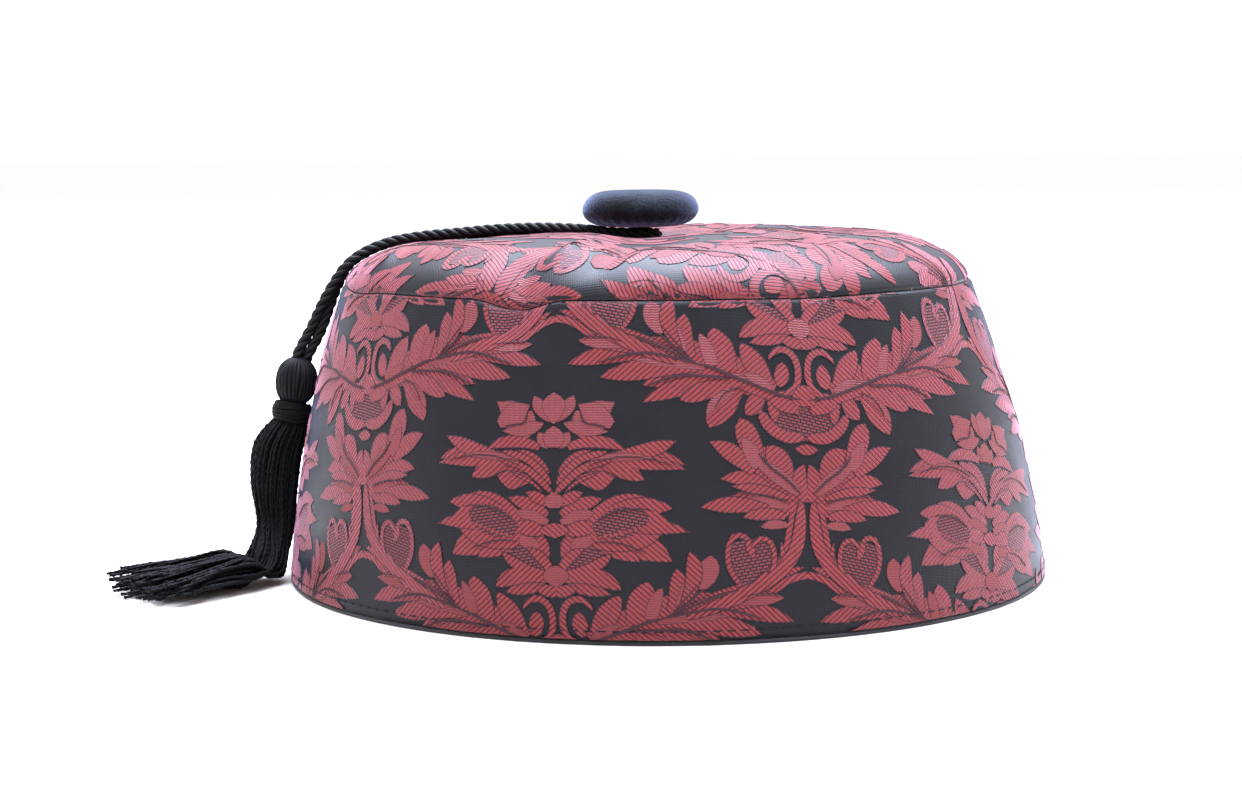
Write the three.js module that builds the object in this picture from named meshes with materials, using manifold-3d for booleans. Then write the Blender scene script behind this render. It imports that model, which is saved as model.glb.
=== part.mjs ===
// A smoking cap: a low flared cap of figured brocade with a softly domed top, a black edge binding,
// a covered button on a short shank, and a doubled twisted cord that carries a tassel.
// Millimetres, +Z up. The origin is the centre of the opening, on the surface that the cap rests on.
// +X is the wearer's left, -Y is the side that faces the viewer, and the tassel hangs at -X.

import * as THREE from "three";
import Module from "manifold-3d";
import { mergeVertices } from "three/addons/utils/BufferGeometryUtils.js";

// Driving dimensions
const BASE_RADIUS = 95; // outside of the opening, a head of about 58 cm
const SEAM_RADIUS = 78.3; // outside of the seam between band and crown
const BAND_HEIGHT = 73.6; // from the table to the seam
const BAND_BOW = 2.6; // how far the band swells out of a straight cone at mid height
const BAND_THICKNESS = 2.2; // brocade, interlining and lining, stitched as one
const CROWN_THICKNESS = 2.0;
const CROWN_RISE = 12.6; // from the seam to the highest ring of the crown
const CROWN_LEAN = { x: -2.2, y: 0.5 }; // how far the soft cap leans at the height of the seam
const SEAM_GAP = 0.3; // between pieces that are sewn together

const BINDING_SHOWN = 0.9; // height of the black edge below the brocade
const BINDING_LEG = 7; // how far the binding runs up inside
const BINDING_THICKNESS = 1.2;

const BUTTON_RADIUS = 14.6;
const BUTTON_THICKNESS = 9.1;
const BUTTON_OFFSET = { x: -3.9, y: 0 }; // from the crown's centre
const SHANK_RADIUS = 2.7;
const SHANK_HEIGHT = 3.2; // leaves room for the cord under the button

const CORD_DIAMETER = 2.2;
const CORD_GAP = 0.3; // between the two runs, and round the shank

const HEAD_RADIUS = 5.2;
const HEAD_HEIGHT = 11.5;
const NECK_RADIUS = 3.7;
const NECK_HEIGHT = 6;
const NECK_BINDING_THICKNESS = 0.9;
const SKIRT_TOP = 37.5; // height of the neck's foot above the table
const SKIRT_RADIUS = 5.9;
const SKIRT_REACH = 40; // how far the fringe spreads over the table, away from the cap
const SWEEP_AZIMUTH = 220; // degrees, the way that the fringe points
const TASSEL_AZIMUTH = 185; // degrees, where the tassel leans on the band
const TASSEL_GAP = 0.4;
const LOCK_RADIUS = 1.75;
const LOCK_TIP_CLEARANCE = 0.15; // between the lowest lock and the table

// Facets
const ROUND_STEPS = 72;
const BAND_ROWS = 7;
const CORD_SIDES = 8;
const LOCK_SIDES = 6;
const LOCK_STEPS = 8;

// The crown's section from the seam to the middle: radius as a share of the seam's, height of the rise.
const CROWN_SECTION = [
  { radius: 1.0, height: 0.0 },
  { radius: 0.977, height: 0.24 },
  { radius: 0.945, height: 0.43 },
  { radius: 0.894, height: 0.61 },
  { radius: 0.842, height: 0.75 },
  { radius: 0.79, height: 0.83 },
  { radius: 0.72, height: 0.88 },
  { radius: 0.588, height: 0.93 },
  { radius: 0.46, height: 0.975 },
  { radius: 0.33, height: 1.0 },
  { radius: 0.2, height: 0.9 },
  { radius: 0.1, height: 0.75 },
];

// Folds in the crown. Each runs from inner to outer (shares of the seam radius) at its azimuth in degrees,
// turning by turn degrees on the way. Rise is a share of the crown's rise, below zero for a valley, and
// width, a share of the seam radius, is where the fold fades out.
const CROWN_FOLDS = [
  { azimuth: 180, turn: 0, inner: 0.08, outer: 1.0, rise: -0.15, width: 0.3 }, // pressed by the cord
  { azimuth: 262, turn: -12, inner: 0.62, outer: 0.98, rise: 0.15, width: 0.055 }, // crease to the seam
  { azimuth: 270, turn: -10, inner: 0.66, outer: 0.98, rise: -0.12, width: 0.06 },
  { azimuth: 206, turn: 6, inner: 0.82, outer: 1.0, rise: 0.12, width: 0.09 }, // puff at the left end
  { azimuth: 14, turn: -6, inner: 0.1, outer: 0.5, rise: 0.13, width: 0.09 }, // ridge beside the shank
  { azimuth: 352, turn: 4, inner: 0.1, outer: 0.62, rise: -0.1, width: 0.08 },
  { azimuth: 50, turn: 8, inner: 0.35, outer: 0.9, rise: -0.13, width: 0.12 }, // hollow at the back right
  { azimuth: 318, turn: -10, inner: 0.4, outer: 0.85, rise: -0.07, width: 0.1 },
  { azimuth: 118, turn: 10, inner: 0.25, outer: 0.85, rise: -0.11, width: 0.11 },
  { azimuth: 150, turn: -8, inner: 0.3, outer: 0.8, rise: 0.08, width: 0.1 },
];

// Places where the seam is pulled: drop and inward as shares of the crown's rise, half_angle in degrees,
// and reach, the share of the band's height over which the pull fades.
const SEAM_PULLS = [
  { azimuth: 249, half_angle: 9, drop: 0.19, inward: 0.09, reach: 0.22 },
  { azimuth: 208, half_angle: 12, drop: 0.05, inward: -0.06, reach: 0.18 },
  { azimuth: 300, half_angle: 16, drop: 0.03, inward: 0.05, reach: 0.35 },
  { azimuth: 75, half_angle: 14, drop: 0.08, inward: 0.08, reach: 0.3 },
  { azimuth: 140, half_angle: 18, drop: 0.04, inward: 0.1, reach: 0.45 },
];

// The fringe from the neck to its tips: reach and height as shares of SKIRT_REACH and SKIRT_TOP, drift in
// degrees round the cap toward the viewer, girth as a share of SKIRT_RADIUS, and fan, the bundle's width
// over its girth.
const SKIRT_SECTIONS = [
  { reach: 0.0, height: 1.0, drift: 0.0, girth: 0.55, fan: 1.0 },
  { reach: 0.0, height: 0.86, drift: 0.4, girth: 0.98, fan: 1.0 },
  { reach: 0.0, height: 0.6, drift: 1.6, girth: 1.0, fan: 1.0 },
  { reach: 0.01, height: 0.36, drift: 3.4, girth: 0.96, fan: 1.1 },
  { reach: 0.05, height: 0.21, drift: 5.0, girth: 0.9, fan: 1.3 },
  { reach: 0.22, height: 0.13, drift: 6.0, girth: 0.78, fan: 2.4 },
  { reach: 0.45, height: 0.115, drift: 6.0, girth: 0.66, fan: 4.2 },
  { reach: 0.72, height: 0.1, drift: 6.0, girth: 0.54, fan: 6.9 },
  { reach: 1.0, height: 0.08, drift: 6.0, girth: 0.42, fan: 10.4 },
];

// Locks round the bundle: at, degrees round its section; out, share of its half width; length, share of
// the whole fringe.
const LOCKS = [
  { at: 0, out: 0.7, length: 0.82 },
  { at: 30, out: 0.66, length: 0.9 },
  { at: 58, out: 0.66, length: 0.86 },
  { at: 84, out: 0.62, length: 0.98 },
  { at: 112, out: 0.64, length: 0.9 },
  { at: 148, out: 0.66, length: 0.96 },
  { at: 180, out: 0.7, length: 0.92 },
  { at: 212, out: 0.64, length: 0.99 },
  { at: 240, out: 0.66, length: 0.94 },
  { at: 268, out: 0.62, length: 1.0 },
  { at: 296, out: 0.66, length: 0.92 },
  { at: 328, out: 0.64, length: 0.88 },
];

// The middle line of the doubled cord, chosen by hand, from beside the shank to the tassel's head.
// Turn is the direction, in degrees about the line, in which the first run lies from the second.
const CORD_ROUTE = [
  { x: -14.5, y: 0.1, z: 85.4, turn: 0 },
  { x: -20, y: 0.4, z: 86.1, turn: 0 },
  { x: -31, y: 1.0, z: 86.4, turn: 4 },
  { x: -42, y: 1.2, z: 86.0, turn: 8 },
  { x: -53, y: 0.6, z: 85.2, turn: 4 },
  { x: -62, y: -0.6, z: 84.6, turn: -4 },
  { x: -69, y: -2.0, z: 82.8, turn: 0 },
  { x: -75, y: -3.2, z: 80.6, turn: 4 },
  { x: -79.6, y: -4.3, z: 77.4, turn: 8 },
  { x: -83.0, y: -5.2, z: 72.6, turn: 18 },
  { x: -85.4, y: -5.9, z: 67.4, turn: 45 },
  { x: -87.8, y: -6.5, z: 61.8, turn: 74 },
  { x: -90.8, y: -7.2, z: 56.2, turn: 80 },
];

const wasm = await Module();
wasm.setup();

const radians = THREE.MathUtils.degToRad;
const smooth = THREE.MathUtils.smoothstep;

// 1 on the middle of a fold or dent, fading to 0 at its width.
const bump = (distance, width) => (Math.abs(distance) >= width ? 0 : (1 + Math.cos((Math.PI * distance) / width)) / 2);

// The angle from one azimuth to another, between -180 and 180 degrees.
const turnBetween = (from, to) => ((((to - from) % 360) + 540) % 360) - 180;

// Outside radius of the band at a share of its height, before it is pulled.
const bandRadius = (share) =>
  THREE.MathUtils.lerp(BASE_RADIUS, SEAM_RADIUS, share) + BAND_BOW * 4 * share * (1 - share);

// How far the seam is pulled down and inward at an azimuth. Reach picks the share of height that feels it.
function seamPull(azimuth, share) {
  let drop = 0;
  let inward = 0;
  for (const pull of SEAM_PULLS) {
    const near = bump(turnBetween(pull.azimuth, azimuth), pull.half_angle) * smooth(share, 1 - pull.reach, 1);
    drop += pull.drop * CROWN_RISE * near;
    inward += pull.inward * CROWN_RISE * near;
  }
  return { drop, inward };
}

// Height of the crown's outside above the seam, at a radius share and azimuth, without its folds.
function crownHeight(radiusShare) {
  const rows = CROWN_SECTION;
  if (radiusShare <= rows[rows.length - 1].radius) return rows[rows.length - 1].height * CROWN_RISE;
  const i = rows.findIndex((row) => row.radius <= radiusShare);
  const a = rows[Math.max(i - 1, 0)];
  const b = rows[i];
  const t = a === b ? 0 : (a.radius - radiusShare) / (a.radius - b.radius);
  return THREE.MathUtils.lerp(a.height, b.height, t) * CROWN_RISE;
}

// What the folds add to the crown's height at a radius share and azimuth.
function crownFolds(radiusShare, azimuth) {
  let rise = 0;
  for (const fold of CROWN_FOLDS) {
    const along = (radiusShare - fold.inner) / (fold.outer - fold.inner);
    if (along <= 0 || along >= 1) continue;
    const across = radiusShare * radians(turnBetween(fold.azimuth + fold.turn * along, azimuth));
    rise += fold.rise * CROWN_RISE * bump(across, fold.width) * Math.sin(Math.PI * along);
  }
  return rise;
}

// Height of the crown's outside above the table at a place measured from the crown's centre.
function crownTopAt(x, y) {
  const share = Math.hypot(x, y) / SEAM_RADIUS;
  const azimuth = THREE.MathUtils.radToDeg(Math.atan2(y, x));
  return BAND_HEIGHT + crownHeight(share) + crownFolds(share, azimuth);
}

// Height of a cord's middle line where the cord lies on the crown, at a place on the table's plan.
function lyingHeight(x, y) {
  const radius = CORD_DIAMETER / 2;
  let highest = 0;
  for (const dx of [-radius, 0, radius]) {
    for (const dy of [-radius, 0, radius]) {
      highest = Math.max(highest, crownTopAt(x + dx - CROWN_LEAN.x, y + dy - CROWN_LEAN.y));
    }
  }
  return highest + radius + CORD_GAP;
}

// Moves each point of a turned body, whose axis is +Z, by a rule.
function reshape(geometry, rule) {
  const at = geometry.getAttribute("position");
  const point = new THREE.Vector3();
  for (let i = 0; i < at.count; i++) {
    point.fromBufferAttribute(at, i);
    rule(point);
    at.setXYZ(i, point.x, point.y, point.z);
  }
  return geometry;
}

// Turns a profile of {r, z} about +Z.
function turned(profile, steps) {
  const points = profile.map(({ r, z }) => new THREE.Vector2(r, z));
  return new THREE.LatheGeometry(points, steps).rotateX(Math.PI / 2);
}

// The cap leans a little, more the higher it gets.
function lean(point) {
  const share = point.z / BAND_HEIGHT;
  point.x += CROWN_LEAN.x * Math.min(share, 1);
  point.y += CROWN_LEAN.y * Math.min(share, 1);
}

// The flared wall. Its outside and inside are pulled alike, so that its thickness holds.
function sideBand() {
  const foot = BINDING_SHOWN + SEAM_GAP;
  const top = BAND_HEIGHT - SEAM_GAP;
  const profile = [];
  for (let i = 0; i <= BAND_ROWS; i++) {
    const z = THREE.MathUtils.lerp(foot, top, i / BAND_ROWS);
    profile.push({ r: bandRadius(z / BAND_HEIGHT), z });
  }
  for (let i = BAND_ROWS; i >= 0; i--) {
    const { r, z } = profile[i];
    profile.push({ r: r - BAND_THICKNESS, z });
  }
  profile.push(profile[0]);
  return reshape(turned(profile, ROUND_STEPS), (point) => {
    const azimuth = THREE.MathUtils.radToDeg(Math.atan2(point.y, point.x));
    const pull = seamPull(azimuth, point.z / BAND_HEIGHT);
    const radius = Math.hypot(point.x, point.y);
    const scale = (radius - pull.inward) / radius;
    point.set(point.x * scale, point.y * scale, point.z);
    lean(point);
    point.z -= pull.drop;
  });
}

// The domed top, a shell that stands on the band at the seam.
function crownTip() {
  const outside = CROWN_SECTION.map((row) => ({
    r: row.radius * SEAM_RADIUS,
    z: BAND_HEIGHT + row.height * CROWN_RISE,
  }));
  const middle = outside[outside.length - 1];
  const innerShare = (SEAM_RADIUS - BAND_THICKNESS) / SEAM_RADIUS;
  const inside = outside.map(({ r, z }, i) => ({ r: r * innerShare, z: i === 0 ? z : z - CROWN_THICKNESS }));
  const profile = [{ r: 0, z: middle.z - CROWN_THICKNESS }, ...inside.reverse(), ...outside, { r: 0, z: middle.z }];
  return reshape(turned(profile, ROUND_STEPS), (point) => {
    const azimuth = THREE.MathUtils.radToDeg(Math.atan2(point.y, point.x));
    const radius = Math.hypot(point.x, point.y);
    const share = radius / SEAM_RADIUS;
    const atSeam = smooth(share, 0.8, innerShare);
    const pull = seamPull(azimuth, 1);
    const scale = radius > 0 ? (radius - pull.inward * atSeam) / radius : 1;
    const folds = crownFolds(share, azimuth);
    point.set(point.x * scale, point.y * scale, point.z);
    lean(point);
    point.z += folds - pull.drop * atSeam;
  });
}

// The black edge: a lip that shows under the brocade, and a leg that runs up inside.
function edgeBinding() {
  const legTop = Math.min(BINDING_LEG, BAND_HEIGHT / 2);
  const inside = (z) => bandRadius(z / BAND_HEIGHT) - BAND_THICKNESS - SEAM_GAP;
  const profile = [
    { r: inside(0) - BINDING_THICKNESS, z: 0 },
    { r: BASE_RADIUS, z: 0 },
    { r: BASE_RADIUS, z: BINDING_SHOWN },
    { r: inside(BINDING_SHOWN), z: BINDING_SHOWN },
    { r: inside(legTop), z: legTop },
    { r: inside(legTop) - BINDING_THICKNESS, z: legTop },
  ];
  profile.push(profile[0]);
  return reshape(turned(profile, ROUND_STEPS), lean);
}

const crownCentre = new THREE.Vector3(CROWN_LEAN.x, CROWN_LEAN.y, BAND_HEIGHT);
const shankFoot = crownTopAt(BUTTON_OFFSET.x, BUTTON_OFFSET.y) + SEAM_GAP;
const buttonFoot = shankFoot + SHANK_HEIGHT + SEAM_GAP;
const buttonPlace = new THREE.Vector3(crownCentre.x + BUTTON_OFFSET.x, crownCentre.y + BUTTON_OFFSET.y, 0);

// The covered button: a thick disc whose edge is rounder below than above.
function button() {
  const steps = 9;
  const flatShare = 0.3; // of the radius, where the underside and the top are flat
  const edgeHeight = 0.46; // of the thickness, where it is widest
  const rows = [{ r: 0, z: 0 }];
  for (let i = 0; i <= steps; i++) {
    const angle = (Math.PI * i) / steps - Math.PI / 2;
    const r = BUTTON_RADIUS * (flatShare + (1 - flatShare) * Math.cos(angle) ** 0.62);
    const reach = angle < 0 ? edgeHeight : 1 - edgeHeight;
    rows.push({ r, z: BUTTON_THICKNESS * (edgeHeight + reach * Math.sin(angle)) });
  }
  rows.push({ r: 0, z: BUTTON_THICKNESS });
  return turned(rows, ROUND_STEPS / 2).translate(buttonPlace.x, buttonPlace.y, buttonFoot);
}

// The thread-wound stem that carries the button and holds the cord's loop.
function buttonShank() {
  const rows = [
    { r: 0, z: 0 },
    { r: SHANK_RADIUS * 1.15, z: 0 },
    { r: SHANK_RADIUS, z: SHANK_HEIGHT * 0.25 },
    { r: SHANK_RADIUS, z: SHANK_HEIGHT * 0.75 },
    { r: SHANK_RADIUS * 1.15, z: SHANK_HEIGHT },
    { r: 0, z: SHANK_HEIGHT },
  ];
  return turned(rows, ROUND_STEPS / 3).translate(buttonPlace.x, buttonPlace.y, shankFoot);
}

// One run of the doubled cord. Side is 1 for the run in front and -1 for the one behind.
function cordRun(side) {
  const spacing = (CORD_DIAMETER + CORD_GAP) / 2;
  const loopRadius = SHANK_RADIUS * 1.15 + CORD_GAP + CORD_DIAMETER / 2;
  const loopHeight = shankFoot + SHANK_HEIGHT / 2;
  const start = Math.asin((CORD_DIAMETER + CORD_GAP) / 2 / loopRadius);
  const points = [];
  for (const turn of [start, start + (Math.PI - start) * 0.25, Math.PI / 2, Math.PI * 0.72]) {
    points.push(
      new THREE.Vector3(
        buttonPlace.x + loopRadius * Math.cos(turn),
        buttonPlace.y - side * loopRadius * Math.sin(turn),
        loopHeight,
      ),
    );
  }
  CORD_ROUTE.forEach((row, i) => {
    const here = new THREE.Vector3(row.x, row.y, row.z);
    const before = CORD_ROUTE[Math.max(i - 1, 0)];
    const after = CORD_ROUTE[Math.min(i + 1, CORD_ROUTE.length - 1)];
    const along = new THREE.Vector3(after.x - before.x, after.y - before.y, after.z - before.z).normalize();
    const front = new THREE.Vector3(0, -1, 0).addScaledVector(along, along.y).normalize();
    front.applyAxisAngle(along, radians(row.turn));
    here.addScaledVector(front, side * spacing);
    const onCrown = Math.hypot(here.x - CROWN_LEAN.x, here.y - CROWN_LEAN.y) < SEAM_RADIUS;
    if (onCrown) here.z = Math.max(here.z, lyingHeight(here.x, here.y));
    points.push(here);
  });
  const path = new THREE.CatmullRomCurve3(points, false, "centripetal");
  const steps = Math.round(path.getLength() / (CORD_DIAMETER * 1.4));
  return tube(path, CORD_DIAMETER / 2, CORD_SIDES, steps);
}

// A round tube with flat ends along a curve.
function tube(path, radius, sides, steps) {
  const section = new THREE.Shape(
    Array.from({ length: sides }, (_, i) => {
      const turn = (2 * Math.PI * i) / sides;
      return new THREE.Vector2(radius * Math.cos(turn), radius * Math.sin(turn));
    }),
  );
  return new THREE.ExtrudeGeometry(section, { steps, extrudePath: path, bevelEnabled: false });
}

// Where a body of a given radius leans on the band at a height, drifted by some degrees round the cap.
function leaningPlace(height, radius, drift = 0) {
  const share = THREE.MathUtils.clamp(height / BAND_HEIGHT, 0, 1);
  const away = bandRadius(share) + TASSEL_GAP + radius;
  const azimuth = radians(TASSEL_AZIMUTH + drift);
  const place = new THREE.Vector3(away * Math.cos(azimuth), away * Math.sin(azimuth), height);
  lean(place);
  place.z = height;
  return place;
}

const neckTop = SKIRT_TOP + NECK_HEIGHT;
const headPlace = leaningPlace(neckTop + HEAD_HEIGHT / 2, HEAD_RADIUS);
const neckPlace = leaningPlace(SKIRT_TOP, NECK_RADIUS + NECK_BINDING_THICKNESS);
const tasselAxis = headPlace.clone().sub(neckPlace).normalize();

// Puts a body that was turned about +Z on the tassel's leaning axis, with its foot at the neck's foot.
function onTassel(geometry) {
  const stand = new THREE.Quaternion().setFromUnitVectors(new THREE.Vector3(0, 0, 1), tasselAxis);
  return geometry.applyQuaternion(stand).translate(neckPlace.x, neckPlace.y, neckPlace.z);
}

// The tassel's head and neck, which the locks grow from.
function tasselHead() {
  const rows = [{ r: 0, z: -NECK_HEIGHT / 2 }];
  rows.push({ r: NECK_RADIUS, z: -NECK_HEIGHT / 2 });
  rows.push({ r: NECK_RADIUS, z: NECK_HEIGHT });
  const steps = 7;
  for (let i = 1; i < steps; i++) {
    const angle = Math.PI * (0.17 + (0.83 * i) / steps);
    rows.push({
      r: HEAD_RADIUS * Math.sin(angle) ** 0.8,
      z: NECK_HEIGHT + (HEAD_HEIGHT / 2) * (1 - Math.cos(angle)),
    });
  }
  rows.push({ r: 0, z: NECK_HEIGHT + HEAD_HEIGHT });
  return onTassel(turned(rows, 20));
}

// A station of the fringe: its middle, and the two directions across it.
function skirtStation(row) {
  const girth = row.girth * SKIRT_RADIUS;
  const height = Math.max(row.height * SKIRT_TOP, girth + LOCK_TIP_CLEARANCE);
  const sweep = radians(SWEEP_AZIMUTH);
  const middle = leaningPlace(height, Math.max(girth, NECK_RADIUS), row.drift);
  middle.x += row.reach * SKIRT_REACH * Math.cos(sweep);
  middle.y += row.reach * SKIRT_REACH * Math.sin(sweep);
  return { middle, girth, fan: row.fan };
}

// The line of one lock, from the neck to its cut end.
function lockPath(lock) {
  const sweep = radians(SWEEP_AZIMUTH);
  const forward = new THREE.Vector3(Math.cos(sweep), Math.sin(sweep), 0);
  const sideways = new THREE.Vector3(-Math.sin(sweep), Math.cos(sweep), 0);
  const stations = SKIRT_SECTIONS.map(skirtStation);
  const points = stations.map(({ middle, girth, fan }, i) => {
    const ahead = stations[Math.min(i + 1, stations.length - 1)].middle;
    const behind = stations[Math.max(i - 1, 0)].middle;
    const along = ahead.clone().sub(behind).normalize();
    const across = sideways.clone();
    const upward = new THREE.Vector3().crossVectors(along, across).normalize();
    if (upward.dot(forward) > 0.5) upward.negate();
    const reach = girth * lock.out;
    const at = radians(lock.at);
    return middle
      .clone()
      .addScaledVector(across, reach * fan * Math.cos(at))
      .addScaledVector(upward, reach * Math.sin(at));
  });
  points.forEach((point) => {
    point.z = Math.max(point.z, LOCK_RADIUS + LOCK_TIP_CLEARANCE);
  });
  const whole = new THREE.CatmullRomCurve3(points, false, "centripetal");
  const kept = whole.getSpacedPoints(LOCK_STEPS * 2).slice(0, Math.round(LOCK_STEPS * 2 * lock.length) + 1);
  return new THREE.CatmullRomCurve3(kept, false, "centripetal");
}

// A closed geometry as a solid that can be joined or cut.
function solidOf(geometry) {
  const bare = geometry.clone();
  bare.deleteAttribute("normal");
  bare.deleteAttribute("uv");
  const merged = mergeVertices(bare, 1e-3);
  return new wasm.Manifold(
    new wasm.Mesh({
      numProp: 3,
      vertProperties: new Float32Array(merged.getAttribute("position").array),
      triVerts: new Uint32Array(merged.index.array),
    }),
  );
}

// A solid back as a geometry.
function geometryOf(solid) {
  const mesh = solid.getMesh();
  return new THREE.BufferGeometry()
    .setAttribute("position", new THREE.BufferAttribute(mesh.vertProperties, 3))
    .setIndex(new THREE.BufferAttribute(mesh.triVerts, 1));
}

// Head, neck and locks in one, with the pockets that the locks shut in filled.
function tassel() {
  let whole = solidOf(tasselHead());
  for (const lock of LOCKS) {
    const path = lockPath(lock);
    whole = whole.add(solidOf(tube(path, LOCK_RADIUS, LOCK_SIDES, LOCK_STEPS)));
  }
  const [outer] = whole.decompose().sort((a, b) => b.volume() - a.volume());
  return geometryOf(outer);
}

// The thread wound round the neck.
function tasselBinding() {
  const inner = NECK_RADIUS + SEAM_GAP;
  const outer = inner + NECK_BINDING_THICKNESS;
  const low = NECK_HEIGHT * 0.2;
  const high = NECK_HEIGHT * 0.95;
  const soft = 0.3;
  const profile = [
    { r: inner, z: low },
    { r: outer - soft, z: low },
    { r: outer, z: low + soft },
    { r: outer, z: high - soft },
    { r: outer - soft, z: high },
    { r: inner, z: high },
  ];
  profile.push(profile[0]);
  return onTassel(turned(profile, 20));
}

const cloth = (color, roughness) => new THREE.MeshStandardMaterial({ color, roughness, metalness: 0 });
const brocade = cloth(0xa94453, 0.55);
const blackCloth = cloth(0x17171b, 0.8);
const velvet = cloth(0x1a1b24, 0.95);
const rayon = cloth(0x101113, 0.45);

const cap = new THREE.Group();
const pieces = [
  { name: "side_band", geometry: sideBand(), material: brocade },
  { name: "crown_tip", geometry: crownTip(), material: brocade },
  { name: "edge_binding", geometry: edgeBinding(), material: blackCloth },
  { name: "button", geometry: button(), material: velvet },
  { name: "button_shank", geometry: buttonShank(), material: rayon },
  { name: "cord_front", geometry: cordRun(1), material: rayon },
  { name: "cord_back", geometry: cordRun(-1), material: rayon },
  { name: "tassel", geometry: tassel(), material: rayon },
  { name: "tassel_binding", geometry: tasselBinding(), material: rayon },
];
for (const { name, geometry, material } of pieces) {
  const mesh = new THREE.Mesh(geometry, material);
  mesh.name = name;
  cap.add(mesh);
}

export default cap;
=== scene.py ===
"""Dresses the brocade smoking cap: figured cloth, bound edge, covered button, doubled cord and tassel."""

import logging
import math
import random
from dataclasses import dataclass, field, replace
from enum import Enum

import bpy
import numpy as np
from mathutils import Matrix, Vector


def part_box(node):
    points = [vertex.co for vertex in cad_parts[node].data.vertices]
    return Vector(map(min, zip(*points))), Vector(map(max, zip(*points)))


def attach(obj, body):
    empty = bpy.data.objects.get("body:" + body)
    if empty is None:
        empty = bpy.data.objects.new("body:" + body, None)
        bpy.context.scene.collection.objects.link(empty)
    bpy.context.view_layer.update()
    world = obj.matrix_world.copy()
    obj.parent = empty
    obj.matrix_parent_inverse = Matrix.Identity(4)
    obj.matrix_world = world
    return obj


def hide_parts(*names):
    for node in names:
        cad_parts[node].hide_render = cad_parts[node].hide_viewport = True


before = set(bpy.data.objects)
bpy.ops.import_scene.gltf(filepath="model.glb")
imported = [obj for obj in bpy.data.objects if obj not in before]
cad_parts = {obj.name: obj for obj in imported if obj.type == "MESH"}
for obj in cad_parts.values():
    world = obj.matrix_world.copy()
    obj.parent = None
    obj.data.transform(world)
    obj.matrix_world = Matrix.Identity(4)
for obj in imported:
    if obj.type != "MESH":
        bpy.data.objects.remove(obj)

MM = 0.001  # metres in a millimetre; every size below is in millimetres

log = logging.getLogger("smoking_cap")
Socket = bpy.types.NodeSocket
Colour = tuple[float, float, float]


# Cloth, thread and node work


GROUND_BLACK_AND_EDGE_SHADE = (0.012, 0.007, 0.008)  # the ground where it shows between rose threads, and the painted shade along lobe edges
FIGURE_GLOSS = {
    "Roughness": 0.48,
    "Specular_IOR_Level": 0.28,
    "Specular_Tint": (0.92, 0.8, 0.92, 1.0),
    "Sheen_Weight": 1.0,
    "Sheen_Roughness": 0.19,
    "Sheen_Tint": (1.0, 0.52, 0.7, 1.0),
}  # the silky bloom that every rose weave has


def placed(name: str, data: bpy.types.ID) -> bpy.types.Object:
    """Makes an object and adds it to the scene.

    Args:
        name: the object's name.
        data: its mesh, lamp or camera.

    Returns:
        The object.
    """
    made = bpy.data.objects.new(name, data)
    bpy.context.scene.collection.objects.link(made)
    return made


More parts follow.
